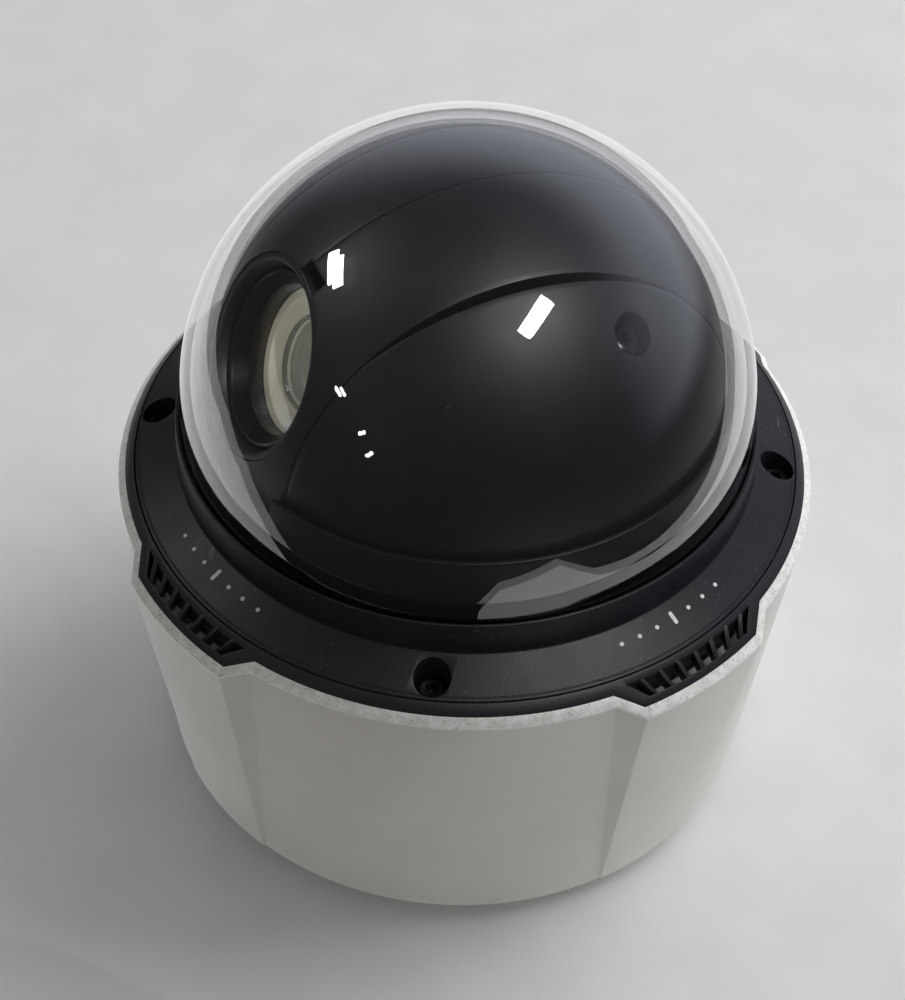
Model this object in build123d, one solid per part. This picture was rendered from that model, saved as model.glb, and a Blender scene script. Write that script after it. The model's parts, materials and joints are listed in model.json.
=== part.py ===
from build123d import *
import math
import os

# Pan-tilt-zoom dome camera, standing dome up on its mounting base. Millimetres, +Z up.
# The origin is the centre of the base's underside; the pan axis is Z.

# Overall sizes
FACE_Z = 96.5  # height of the dome ring's outer edge
FACE_R = 85.0  # radius of that edge
BODY_FOOT_R = 81.3  # radius of the housing at its foot
RIM_R = 89.5  # radius of the housing at its rim
WING_R = 93.2  # radius of the housing over its vent pillars
BASE_T = 6.0  # thickness of the mounting base
BASE_R = 70.0
WALL = 2.6  # housing wall
FLOOR_T = 4.0
LIP_R = 75.0  # inner radius of the wall's foot lip
LIP_T = 2.0

# The bevelled rim: one cone that the trim ring, the vents and the housing rim share
BEVEL_SLOPE = 0.98  # drop per millimetre of radius
TRIM_IN_R = FACE_R + 0.3
TRIM_OUT_R = 87.5
BEVEL_TOP_Z = FACE_Z - 0.1

# Dome ring and bubble
FACE_IN_R = 74.3
FACE_RISE = 4.9  # the ring's face climbs this much towards its collar
COLLAR_T = 1.2
COLLAR_H = 14.0  # collar top above the ring's edge
RING_DEEP = 8.0
DOME_R = 72.6
DOME_T = 2.4
DOME_CENTRE = 18.2  # sphere centre above the ring's edge
DOME_FLANGE_R = 74.6
DOME_FLANGE_T = 2.4
GASKET_T = 2.0
GASKET_IN_R = 70.8
DECK_IN_R = 70.5
DECK_T = 3.0
DOME_SCREW_R = 80.0
SCREW_COUNT = 4
HEAD_R = 3.9
HEAD_H = 3.0
SHANK_R = 2.0
COUNTERBORE_R = 4.5
COUNTERBORE_FLOOR = 5.0  # below the ring's edge

# Vents
VENT_COUNT = 4
VENT_FIRST_DEG = 45.0
VENT_R = 91.2
VENT_CORNER_DEG = 11.5
VENT_LEAN = (-4.9, 5.4)  # direction of a vent's side edge, radial then tangential
VENT_THICK = 3.4
TRIM_SKIRT_T = 0.9
SLOT_COUNT = 8
SLOT_PITCH = 5.0
RIB_T = 1.2
SLOT_FAN_DEG = 40.0  # lean of the outermost ribs
SLOT_IN_R = 86.6
SLOT_OUT_R = 89.9
PILLAR_FOOT_DEG = 11.3
PILLAR_TOP_DEG = 11.7
PILLAR_STEP = 0.4  # how proud the pillars stand at the foot

# Ball unit
BALL_Z = FACE_Z + 21.3
BALL_R = 64.8
BALL_WALL = 2.0
LENS_AZ = 207.0  # bearing of the lens
LENS_EL = 26.0  # elevation of the lens at rest
BAND_HALF = 28.9  # half width of the tilting band
SEAM_GAP = 0.3
COVER_GAP = 0.3
COVER_WEDGE = 2.1  # extra width of the gap at the top of a side cover
WEB_T = 2.5
RECESS_R = 5.25
RECESS_DEEP = 5.0
RECESS_DIRECTION = (0.36, 0.63, 0.69)  # rearwards, sideways and up, as shares of the ball's radius
COVER_FOOT = -44.0  # the side covers stop here, below the ball's centre

# Lens
HOOD_R = 25.0
HOOD_IN_R = 22.0
HOOD_BACK = 46.0
BARREL_R = 21.4
BARREL_FRONT = 57.0
BARREL_BACK = 8.0
BARREL_BORE_R = 16.0
GLASS_R = 18.2
GLASS_EDGE = 51.6
GLASS_T = 3.0
GLASS_BULGE = 2.6
GROUP_BORE_R = 15.0
CELL_R = 14.9
BLOCK_HALF = 18.0
BLOCK_BACK = -30.0

# Pan shroud, platform and yoke
SHROUD_R = 66.7
SHROUD_T = 1.3
SHROUD_TOP = FACE_Z + 27.4
SHROUD_WINDOW_HALF = 27.0
SHROUD_WINDOW_FOOT = 78.0
PLATFORM_TOP = 51.5
PLATFORM_T = 2.5
HUB_R = 16.0
HUB_BORE_R = 12.1
ARM_Y = 31.5
ARM_T = 4.0
ARM_HALF = 13.0
SHAFT_R = 4.0
BEARING_R = 8.0
FIT = 0.05  # radial clearance of a running fit
EASE = 0.1  # clearance between parts that only sit together

# Drives
PAN_MODULE = 1.0
TILT_MODULE = 0.8
GEAR_TEETH = 60
PINION_TEETH = 12
MESH_EASE = 0.1
PAN_GEAR_Z = 45.0
PAN_GEAR_T = 4.0
TILT_GEAR_Y = 44.0
TILT_GEAR_T = 3.0
PAN_MOTOR_R = 14.0
PAN_MOTOR_H = 11.0
TILT_MOTOR_R = 9.0
TILT_MOTOR_H = 7.0

# Chassis and electronics
CHASSIS_Z = 36.0
CHASSIS_T = 2.5
CHASSIS_R = 72.0
POST_R = 3.5
POST_RING_R = 64.0
BEARING_HOUSING_R = 22.0
SLIP_R = 11.5
SLIP_BORE_R = 8.05
TRAY_R = 35.0
TRAY_WALL = 2.0
TRAY_TOP = 24.0
BOARD_Z = 27.0
BOARD_T = 1.6
BOARD_R = 58.0
STANDOFF_R = 2.5
STANDOFF_RING_R = 52.0
STANDOFF_FIRST_DEG = 20.0
FAN_SIZE = 40.0
FAN_H = 6.0
FAN_X = -39.5
FAN_BORE_R = 18.0
FAN_HUB_R = 8.0
FAN_BLADES = 7
FAN_PIN_R = 1.5
JACK_SIZE = 16.0
JACK_X = -12.0
JACK_FOOT = 13.5
JACK_PORT = (12.0, 7.6)
PLUG_DEEP = 11.0
TERMINAL = (14.0, 9.0)
TERMINAL_AT = (13.0, 12.0)
BUTTON_AT = (13.0, -12.0)
BUTTON_R = 1.7
BUTTON_TRAVEL = 0.8
MOUNT_HOLE_R = 2.75
MOUNT_RING_R = 53.0
BASE_SCREW_RING_R = 62.0

BODY_Z = BASE_T
FLOOR_TOP = BODY_Z + FLOOR_T
DECK_Z = FACE_Z - RING_DEEP
PAN_GEAR_R = PAN_MODULE * GEAR_TEETH / 2
TILT_GEAR_R = TILT_MODULE * GEAR_TEETH / 2
PAN_CENTRES = PAN_MODULE * (GEAR_TEETH + PINION_TEETH) / 2 + MESH_EASE
TILT_CENTRES = TILT_MODULE * (GEAR_TEETH + PINION_TEETH) / 2 + MESH_EASE


# Shape helpers
def disc(radius, low, high, x=0.0, y=0.0):
    """An upright cylinder between two heights."""
    return Pos(x, y, low) * Cylinder(radius, high - low, align=(Align.CENTER, Align.CENTER, Align.MIN))


def tube(inner, outer, low, high, x=0.0, y=0.0):
    """An upright tube between two heights."""
    return disc(outer, low, high, x, y) - disc(inner, low - 1, high + 1, x, y)


def turned(points):
    """A solid of revolution about Z from (radius, height) points."""
    return revolve(make_face(Plane.XZ * Polyline(*points, close=True)), axis=Axis.Z)


def block(x0, x1, y0, y1, z0, z1):
    """A box between its lowest and highest corners."""
    size = (x1 - x0, y1 - y0, z1 - z0)
    return Pos(x0, y0, z0) * Box(*size, align=(Align.MIN, Align.MIN, Align.MIN))


def prism(points, low, high):
    """A plan outline raised between two heights."""
    return Pos(0, 0, low) * extrude(make_face(Polyline(*points, close=True)), high - low)


def along_y(shape):
    """Lays a Z solid along +Y; its own +Y then points down."""
    return Rot(-90, 0, 0) * shape


def along_x(shape):
    """Lays a Z solid along +X."""
    return Rot(0, 90, 0) * shape


def around(shape, count, first=0.0):
    """Copies of a shape, evenly spaced about Z."""
    return [Rot(0, 0, first + k * 360.0 / count) * shape for k in range(count)]


def group(shapes):
    """Separate solids that share one node."""
    return Compound(children=[s for shape in shapes for s in shape.solids()])


def joined(shapes):
    """One solid from overlapping shapes."""
    whole = shapes[0]
    for shape in shapes[1:]:
        whole = whole + shape
    return whole


def polar(radius, degrees):
    """Plan point at a radius and bearing."""
    angle = math.radians(degrees)
    return (radius * math.cos(angle), radius * math.sin(angle))


def on_pan(shape):
    """Turns a shape built with the lens along +X to the lens bearing."""
    return Rot(0, 0, LENS_AZ) * shape


def at_ball(shape):
    """Places a yoke piece built about the ball's centre."""
    return on_pan(Pos(0, 0, BALL_Z) * shape)


def on_tilt(shape):
    """Places a tilting piece built about the ball's centre with the lens along +X."""
    return at_ball(Rot(0, -LENS_EL, 0) * shape)


def bevel_z(radius):
    """Height of the shared bevel at a radius."""
    return BEVEL_TOP_Z - BEVEL_SLOPE * (radius - TRIM_IN_R)


def gear(teeth, module, thickness, bore, phase=0.0):
    """A spur gear with straight-flanked teeth, one tooth at the phase angle."""
    pitch_r = module * teeth / 2
    step = 2 * math.pi / teeth
    flanks = [
        (pitch_r - 1.1 * module, 0.34),
        (pitch_r, 0.24),
        (pitch_r + 0.8 * module, 0.13),
    ]
    points = []
    for k in range(teeth):
        centre = math.radians(phase) + k * step
        rising = [(r, centre - share * step) for r, share in flanks]
        falling = [(r, centre + share * step) for r, share in reversed(flanks)]
        points += [(r * math.cos(a), r * math.sin(a)) for r, a in rising + falling]
    return prism(points, 0, thickness) - disc(bore, -1, thickness + 1)


def screw(head_r, head_h, shank_r, length, drive_r):
    """A screw along -Z with its head's underside at the origin and a star socket in the head."""
    socket = joined([Rot(0, 0, 60 * k) * Box(2 * drive_r, 0.7 * drive_r, 2) for k in range(3)])
    head = disc(head_r, 0, head_h) - Pos(0, 0, head_h) * socket
    head = chamfer(head.edges().filter_by(GeomType.CIRCLE).sort_by(Axis.Z)[-1], 0.6)
    return head + disc(shank_r, -length, 0)


# Housing
def vent_plan(corner_r, corner_deg, inset=0.0):
    """Plan outline of a vent: leaning side edges, open beyond its inner and outer arcs."""
    x, y = polar(corner_r, corner_deg)
    lean = math.hypot(*VENT_LEAN)
    y -= inset * lean / -VENT_LEAN[0]
    out = (x - 0.8 * VENT_LEAN[0], y - 0.8 * VENT_LEAN[1])
    into = (x + 1.9 * VENT_LEAN[0], y + 1.9 * VENT_LEAN[1])
    return [out, into, (into[0], -into[1]), (out[0], -out[1])]


def pillar_space():
    """Space kept for one swelling of the housing wall that carries a vent."""
    low, high = BODY_Z - 2, FACE_Z + 4
    share = (high - BODY_Z) / (bevel_z(WING_R) - BODY_Z)
    top_r = BODY_FOOT_R + (WING_R - BODY_FOOT_R) * share
    sections = []
    for z, plan in ((low, vent_plan(BODY_FOOT_R, PILLAR_FOOT_DEG)), (high, vent_plan(top_r, PILLAR_TOP_DEG))):
        sections.append(make_face(Plane.XY.offset(z) * Polyline(*plan, close=True)))
    return loft(sections, ruled=True)


def vent_pocket():
    """Seat of one vent in the housing, with its air way to the inside."""
    inner, outer = TRIM_OUT_R - 1, VENT_R + EASE
    seat = turned(
        [
            (inner, FACE_Z + 2),
            (outer, FACE_Z + 2),
            (outer, bevel_z(outer) - VENT_THICK - EASE),
            (inner, bevel_z(inner) - VENT_THICK - EASE),
        ]
    )
    seat = seat & prism(vent_plan(outer, VENT_CORNER_DEG + 0.1), DECK_Z - 8, FACE_Z + 3)
    duct = tube(TRIM_OUT_R - 4, VENT_R - 2.2, DECK_Z - 10, FACE_Z) & block(70, 95, -14, 14, 70, 100)
    return seat + duct


def housing_shell():
    """The painted cast housing: coned wall with a foot lip, dome deck and four vent pillars."""
    rebate_r = TRIM_OUT_R + EASE
    inner_foot = BODY_FOOT_R - WALL
    slope = (RIM_R - BODY_FOOT_R) / (bevel_z(RIM_R) - BODY_Z)
    deck_wall_r = inner_foot + slope * (DECK_Z - DECK_T - BODY_Z)
    shell = turned(
        [
            (LIP_R, BODY_Z),
            (BODY_FOOT_R + PILLAR_STEP, BODY_Z),
            (WING_R, bevel_z(WING_R)),
            (rebate_r, bevel_z(rebate_r)),
            (rebate_r, DECK_Z),
            (DOME_FLANGE_R, DECK_Z),
            (DOME_FLANGE_R, FACE_Z - 2 - DOME_FLANGE_T - GASKET_T),
            (DECK_IN_R, FACE_Z - 2 - DOME_FLANGE_T - GASKET_T),
            (DECK_IN_R, DECK_Z - DECK_T),
            (deck_wall_r, DECK_Z - DECK_T),
            (inner_foot + slope * LIP_T, BODY_Z + LIP_T),
            (LIP_R, BODY_Z + LIP_T),
        ]
    )
    outside = turned(
        [
            (BODY_FOOT_R - slope, BODY_Z - 1),
            (BODY_FOOT_R + slope * (FACE_Z + 2 - BODY_Z), FACE_Z + 2),
            (WING_R + 5, FACE_Z + 2),
            (WING_R + 5, BODY_Z - 1),
        ]
    )
    for space in around(pillar_space(), VENT_COUNT, VENT_FIRST_DEG):
        outside = outside - space
    shell = shell - outside
    for pocket in around(vent_pocket(), VENT_COUNT, VENT_FIRST_DEG):
        shell = shell - pocket
    boss_r = SHANK_R + 2.5
    for boss in around(disc(boss_r, DECK_Z - 14, DECK_Z - 1, DOME_SCREW_R), SCREW_COUNT):
        shell = shell + boss
    for hole in around(disc(SHANK_R + EASE, DECK_Z - 12, FACE_Z, DOME_SCREW_R), SCREW_COUNT):
        shell = shell - hole
    return shell


def housing_floor():
    """The stepped floor pan that closes the housing and carries the chassis posts."""
    floor = tube(TRAY_R + EASE, LIP_R - EASE, BODY_Z, FLOOR_TOP)
    floor = floor + tube(TRAY_R + EASE, BODY_FOOT_R - WALL - EASE, BODY_Z + LIP_T, FLOOR_TOP)
    for hole in around(disc(MOUNT_HOLE_R, 0, FLOOR_TOP + 1, MOUNT_RING_R), 4, VENT_FIRST_DEG):
        floor = floor - hole
    for hole in around(disc(SHANK_R + EASE, 0, FLOOR_TOP + 1, BASE_SCREW_RING_R), 4):
        floor = floor - hole
    return floor


def base_plate():
    """The mounting base: a ring with bolt holes and countersunk housing screws."""
    plate = tube(TRAY_R + 1, BASE_R, 0, BASE_T)
    plate = chamfer(plate.edges().filter_by(GeomType.CIRCLE).group_by(Axis.Z)[0], 0.8)
    for hole in around(disc(MOUNT_HOLE_R, -1, BASE_T + 1, MOUNT_RING_R), 4, VENT_FIRST_DEG):
        plate = plate - hole
    for hole in around(disc(SHANK_R + EASE, -1, BASE_T + 1, BASE_SCREW_RING_R), 4):
        plate = plate - hole
    for seat in around(disc(HEAD_R + EASE, -1, HEAD_H + 0.5, BASE_SCREW_RING_R), 4):
        plate = plate - seat
    return plate


def base_screws():
    """Four screws that hold the base to the housing from below."""
    one = Pos(BASE_SCREW_RING_R, 0, HEAD_H + 0.5) * Rot(180, 0, 0) * screw(HEAD_R, HEAD_H, SHANK_R, 8, 1.6)
    return group(around(one, 4))


def slot_fan():
    """Cutters of one vent's slots, fanned so that the ribs close in outwards."""
    half = SLOT_COUNT / 2
    near, mid, far = SLOT_IN_R - 3, (SLOT_IN_R + SLOT_OUT_R) / 2, SLOT_OUT_R + 2

    def rib_y(k, x):
        lean = math.tan(math.radians(SLOT_FAN_DEG)) * (k - half) / half
        return (k - half) * SLOT_PITCH - lean * (x - mid)

    frame = tube(SLOT_IN_R, SLOT_OUT_R, DECK_Z - 8, FACE_Z + 2)
    frame = frame & prism(vent_plan(VENT_R, VENT_CORNER_DEG, 1.0), DECK_Z - 8, FACE_Z + 2)
    cutters = []
    for k in range(SLOT_COUNT):
        corners = [
            (near, rib_y(k, near) + RIB_T / 2),
            (far, rib_y(k, far) + RIB_T / 2),
            (far, rib_y(k + 1, far) - RIB_T / 2),
            (near, rib_y(k + 1, near) - RIB_T / 2),
        ]
        cutters.append(frame & prism(corners, DECK_Z - 8, FACE_Z + 2))
    return cutters


def trim_ring():
    """The black bevelled trim ring with its four slotted vents, one moulding."""
    skirt_r = TRIM_IN_R + TRIM_SKIRT_T
    ring = turned(
        [
            (TRIM_IN_R, DECK_Z),
            (skirt_r, DECK_Z),
            (skirt_r, bevel_z(skirt_r) - VENT_THICK),
            (VENT_R, bevel_z(VENT_R) - VENT_THICK),
            (VENT_R, bevel_z(VENT_R)),
            (TRIM_IN_R, bevel_z(TRIM_IN_R)),
        ]
    )
    low, high = DECK_Z - 8, FACE_Z + 2
    outside = tube(TRIM_OUT_R, VENT_R + 5, low, high)
    for plan in around(prism(vent_plan(VENT_R, VENT_CORNER_DEG), low - 1, high + 1), VENT_COUNT, VENT_FIRST_DEG):
        outside = outside - plan
    ring = ring - outside
    for cutter in slot_fan():
        for cut in around(cutter, VENT_COUNT, VENT_FIRST_DEG):
            ring = ring - cut
    return ring


# Dome
def dome_ring():
    """The removable black ring: sloping face, collar round the bubble and four counterbores."""
    collar_in = DOME_R + 0.3
    seat_z = FACE_Z - 2
    ring = turned(
        [
            (collar_in, FACE_Z + COLLAR_H),
            (collar_in + COLLAR_T * 0.8, FACE_Z + COLLAR_H),
            (FACE_IN_R, FACE_Z + FACE_RISE),
            (FACE_R, FACE_Z),
            (FACE_R, DECK_Z),
            (DOME_FLANGE_R + 0.3, DECK_Z),
            (DOME_FLANGE_R + 0.3, seat_z),
            (collar_in, seat_z),
        ]
    )
    for hole in around(disc(SHANK_R + EASE, DECK_Z - 1, FACE_Z, DOME_SCREW_R), SCREW_COUNT):
        ring = ring - hole
    seat = disc(COUNTERBORE_R, FACE_Z - COUNTERBORE_FLOOR, FACE_Z + 8, DOME_SCREW_R)
    for hole in around(seat, SCREW_COUNT):
        ring = ring - hole
    return ring


def dome_screws():
    """Four captive screws at the bottom of the ring's counterbores."""
    one = Pos(DOME_SCREW_R, 0, FACE_Z - COUNTERBORE_FLOOR) * screw(HEAD_R, HEAD_H, SHANK_R, 13, 1.8)
    return group(around(one, SCREW_COUNT))


def dome_bubble():
    """The clear bubble: half a sphere on a short cylinder with a clamped flange."""
    centre = FACE_Z + DOME_CENTRE
    top = FACE_Z - 2
    foot = top - DOME_FLANGE_T
    inner = DOME_R - DOME_T
    profile = Polyline((0, centre + inner), (0, centre + DOME_R))
    profile += RadiusArc((0, centre + DOME_R), (DOME_R, centre), DOME_R)
    profile += Polyline(
        (DOME_R, centre), (DOME_R, top), (DOME_FLANGE_R, top), (DOME_FLANGE_R, foot), (inner, foot), (inner, centre)
    )
    profile += RadiusArc((0, centre + inner), (inner, centre), inner)
    return revolve(make_face(Plane.XZ * profile), axis=Axis.Z)


def dome_gasket():
    """The rubber seal between the bubble's flange and the housing deck."""
    top = FACE_Z - 2 - DOME_FLANGE_T
    return tube(GASKET_IN_R, DOME_FLANGE_R - EASE, top - GASKET_T, top)


# Chassis, drives and electronics in the housing
def connector_tray():
    """The cup in the base that the cables plug into, open below."""
    cup = disc(TRAY_R, BODY_Z, TRAY_TOP) - disc(TRAY_R - TRAY_WALL, BODY_Z - 1, TRAY_TOP - TRAY_WALL)
    cup = cup + tube(TRAY_R - 1, TRAY_R + 4, FLOOR_TOP, FLOOR_TOP + 2)
    half = JACK_SIZE / 2 + EASE
    cup = cup - block(JACK_X - half, JACK_X + half, -half, half, TRAY_TOP - 5, TRAY_TOP + 1)
    width, depth = TERMINAL[0] / 2 + EASE, TERMINAL[1] / 2 + EASE
    cup = cup - Pos(*TERMINAL_AT, TRAY_TOP) * Box(2 * width, 2 * depth, 8)
    return cup - disc(BUTTON_R + 0.5, TRAY_TOP - 5, TRAY_TOP + 1, *BUTTON_AT)


def network_jack():
    """The network socket, facing down into the tray."""
    half = JACK_SIZE / 2
    body = block(JACK_X - half, JACK_X + half, -half, half, JACK_FOOT, BOARD_Z)
    width, height = JACK_PORT[0] / 2, JACK_PORT[1] / 2
    port = block(JACK_X - width, JACK_X + width, -height, height, JACK_FOOT - 1, JACK_FOOT + PLUG_DEEP)
    latch = block(JACK_X - 3, JACK_X + 3, -height - 2.4, 0, JACK_FOOT - 1, JACK_FOOT + PLUG_DEEP)
    return body - port - latch


def power_terminal():
    """The two-way power terminal beside the network socket."""
    x, y = TERMINAL_AT
    body = Pos(x, y, 0) * block(-TERMINAL[0] / 2, TERMINAL[0] / 2, -TERMINAL[1] / 2, TERMINAL[1] / 2, 15, BOARD_Z)
    for side in (-3.5, 3.5):
        body = body - disc(1.6, 14, 22, x + side, y)
    return body


def button_switch():
    """The switch body on the board that guides the reset button."""
    x, y = BUTTON_AT
    body = Pos(x, y, (TRAY_TOP + BOARD_Z) / 2) * Box(6, 6, BOARD_Z - TRAY_TOP - 0.4)
    return body - disc(BUTTON_R + FIT, TRAY_TOP - 1, BOARD_Z - 0.5, x, y)


def reset_button():
    """The sprung button that pokes down into the tray."""
    x, y = BUTTON_AT
    top = BOARD_Z - 0.5 - BUTTON_TRAVEL - 0.2
    return disc(BUTTON_R, 18.5, top, x, y)


def main_board():
    """The round circuit board over the tray, cut out for the pan motor and the fan."""
    board = disc(BOARD_R, BOARD_Z, BOARD_Z + BOARD_T)
    board = board - disc(PAN_MOTOR_R + 1, BOARD_Z - 1, BOARD_Z + 3, PAN_CENTRES)
    board = board - disc(FAN_BORE_R - 1, BOARD_Z - 1, BOARD_Z + 3, FAN_X)
    chips = [(10, 34, 14, 14, 2.2), (-12, 38, 12, 10, 1.8), (4, -40, 18, 12, 2.6), (-20, -36, 8, 8, 4.0)]
    for x, y, w, d, h in chips:
        board = board + Pos(x, y, BOARD_Z + BOARD_T + h / 2 - 0.1) * Box(w, d, h)
    return board


def board_standoffs():
    """Four posts that carry the circuit board."""
    post = disc(STANDOFF_R, FLOOR_TOP, BOARD_Z, STANDOFF_RING_R)
    return group(around(post, 4, STANDOFF_FIRST_DEG))


def chassis_posts():
    """Four posts from the housing floor to the chassis plate."""
    post = disc(POST_R, FLOOR_TOP, CHASSIS_Z, POST_RING_R)
    return group(around(post, 4, VENT_FIRST_DEG))


def chassis_plate():
    """The steel plate that carries the pan bearing and motor."""
    plate = tube(HUB_R - 1.5, CHASSIS_R, CHASSIS_Z, CHASSIS_Z + CHASSIS_T)
    plate = plate - disc(4, CHASSIS_Z - 1, CHASSIS_Z + 4, PAN_CENTRES)
    plate = plate - disc(FAN_BORE_R - 4, CHASSIS_Z - 1, CHASSIS_Z + 4, FAN_X)
    for hole in around(disc(6, CHASSIS_Z - 1, CHASSIS_Z + 4, 55), 4, VENT_FIRST_DEG + 15):
        plate = plate - hole
    return plate


def pan_bearing():
    """The fixed race that the pan hub turns in."""
    low = CHASSIS_Z + CHASSIS_T
    return tube(HUB_R + FIT, BEARING_HOUSING_R, low, low + 5.5)


def pan_motor():
    """The pan motor under the chassis plate, with its boss through it."""
    body = disc(PAN_MOTOR_R, CHASSIS_Z - PAN_MOTOR_H, CHASSIS_Z, PAN_CENTRES)
    boss = disc(3.9, CHASSIS_Z - 1, CHASSIS_Z + CHASSIS_T + 1, PAN_CENTRES)
    return body + boss - disc(1.5 + FIT, CHASSIS_Z - 6, CHASSIS_Z + 10, PAN_CENTRES)


def pan_pinion():
    """The pan motor's pinion on its shaft."""
    teeth = gear(PINION_TEETH, PAN_MODULE, PAN_GEAR_T, 0.75, 180.0 / PINION_TEETH)
    shaft = disc(1.5, CHASSIS_Z - 5, PAN_GEAR_Z + PAN_GEAR_T)
    return Pos(PAN_CENTRES, 0, 0) * (Pos(0, 0, PAN_GEAR_Z) * teeth + shaft)


def slip_ring_stator():
    """The fixed half of the slip ring, hung from the chassis plate."""
    flange = tube(SLIP_BORE_R, 19, CHASSIS_Z - 2, CHASSIS_Z)
    return flange + tube(SLIP_BORE_R, SLIP_R, CHASSIS_Z - 5, PLATFORM_TOP - 1)


def fan_frame():
    """The square frame of the defogging fan, with its three arms, hub and pin."""
    low, high = CHASSIS_Z - 1 - FAN_H, CHASSIS_Z - 1
    half = FAN_SIZE / 2
    frame = block(-half, half, -half, half, low, high) - disc(FAN_BORE_R, low - 1, high + 1)
    for corner in around(disc(1.75, low - 1, high + 1, half - 3.2, half - 3.2), 4):
        frame = frame - corner
    for arm in around(block(FAN_HUB_R - 2, FAN_BORE_R + 0.5, -1, 1, high - 1, high), 3):
        frame = frame + arm
    hub = disc(FAN_HUB_R, high - 1, high) + disc(FAN_PIN_R, low + 1, high)
    return Pos(FAN_X, 0, 0) * (frame + hub)


def fan_rotor():
    """The fan's hub and blades."""
    low, high = CHASSIS_Z - FAN_H - 0.2, CHASSIS_Z - 2.4
    hub = disc(FAN_HUB_R, low, high)
    blade = Rot(28, 0, 0) * Box(9.2, 5.0, 0.9, align=(Align.MIN, Align.CENTER, Align.CENTER))
    blade = Pos(FAN_HUB_R - 0.8, 0, (low + high) / 2) * blade
    rotor = joined([hub, *around(blade, FAN_BLADES)])
    return Pos(FAN_X, 0, 0) * (rotor - disc(FAN_PIN_R + FIT, low - 1, high + 1))


# Pan head
def pan_platform():
    """The turntable: a disc on a hollow hub."""
    low = PLATFORM_TOP - PLATFORM_T
    plate = tube(HUB_BORE_R, SHROUD_R - SHROUD_T - EASE, low, PLATFORM_TOP)
    return on_pan(plate + tube(HUB_BORE_R, HUB_R, CHASSIS_Z + CHASSIS_T + 1, low + 1))


def pan_gear():
    """The big pan gear under the turntable."""
    return Pos(0, 0, PAN_GEAR_Z) * gear(GEAR_TEETH, PAN_MODULE, PAN_GEAR_T, HUB_R + EASE)


def slip_ring_rotor():
    """The turning half of the slip ring, with its cable bore."""
    core = disc(SLIP_BORE_R - EASE, CHASSIS_Z - 4, PLATFORM_TOP) + disc(HUB_R - 1, PLATFORM_TOP, PLATFORM_TOP + 0.9)
    return core - disc(3, CHASSIS_Z - 10, PLATFORM_TOP + 5)


def pan_shroud():
    """The skirt round the ball, open in front of the lens."""
    foot = PLATFORM_TOP - PLATFORM_T
    skirt = tube(SHROUD_R - SHROUD_T, SHROUD_R, foot, SHROUD_TOP)
    skirt = chamfer(skirt.edges().filter_by(GeomType.CIRCLE).group_by(Axis.Z)[-1].sort_by(SortBy.RADIUS)[-1], 0.7)
    half = SHROUD_WINDOW_HALF
    window = block(30, 80, -half, half, SHROUD_WINDOW_FOOT, SHROUD_TOP + 1)
    return on_pan(skirt - window)


def yoke_arm(side):
    """One upright of the yoke, with the seat of its tilt bearing."""
    y0 = ARM_Y
    plate = block(-ARM_HALF, ARM_HALF, y0, y0 + ARM_T, PLATFORM_TOP - BALL_Z, 0)
    plate = plate + along_y(disc(ARM_HALF, y0, y0 + ARM_T))
    plate = plate + block(-ARM_HALF, ARM_HALF, y0, y0 + 10, PLATFORM_TOP - BALL_Z, PLATFORM_TOP - BALL_Z + 3)
    plate = plate - along_y(disc(BEARING_R, y0 - 1, y0 + ARM_T + 1))
    if side > 0:
        plate = plate - Pos(0, 0, -TILT_CENTRES) * along_y(disc(3, y0 - 1, y0 + ARM_T + 1))
    return at_ball(plate if side > 0 else mirror(plate, Plane.XZ))


def tilt_bearings():
    """The two bushes in the yoke that the tilt shafts turn in."""
    bush = along_y(tube(SHAFT_R + FIT, BEARING_R, ARM_Y, ARM_Y + ARM_T))
    return group([at_ball(bush), at_ball(mirror(bush, Plane.XZ))])


def tilt_motor():
    """The flat tilt motor on the outside of one yoke arm."""
    low = ARM_Y + ARM_T
    body = disc(TILT_MOTOR_R, low, low + TILT_MOTOR_H) + disc(2.9, low - 3, low + 1)
    body = body - disc(1 + FIT, low - 1, low + TILT_MOTOR_H + 1)
    return at_ball(Pos(0, 0, -TILT_CENTRES) * along_y(body))


def tilt_pinion():
    """The tilt motor's pinion on its shaft."""
    teeth = gear(PINION_TEETH, TILT_MODULE, TILT_GEAR_T, 0.5, 90 + 180.0 / PINION_TEETH)
    low = ARM_Y + ARM_T
    shape = Pos(0, 0, TILT_GEAR_Y) * teeth + disc(1, low, TILT_GEAR_Y + TILT_GEAR_T)
    return at_ball(Pos(0, 0, -TILT_CENTRES) * along_y(shape))


def recess_frame(side):
    """Places a cutter whose +Z runs out through a side cover's screw recess."""
    back, across, up = RECESS_DIRECTION
    size = math.sqrt(back * back + across * across + up * up)
    direction = Vector(-back / size, side * across / size, up / size)
    return Plane(origin=direction * BALL_R, z_dir=direction).location


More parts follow.
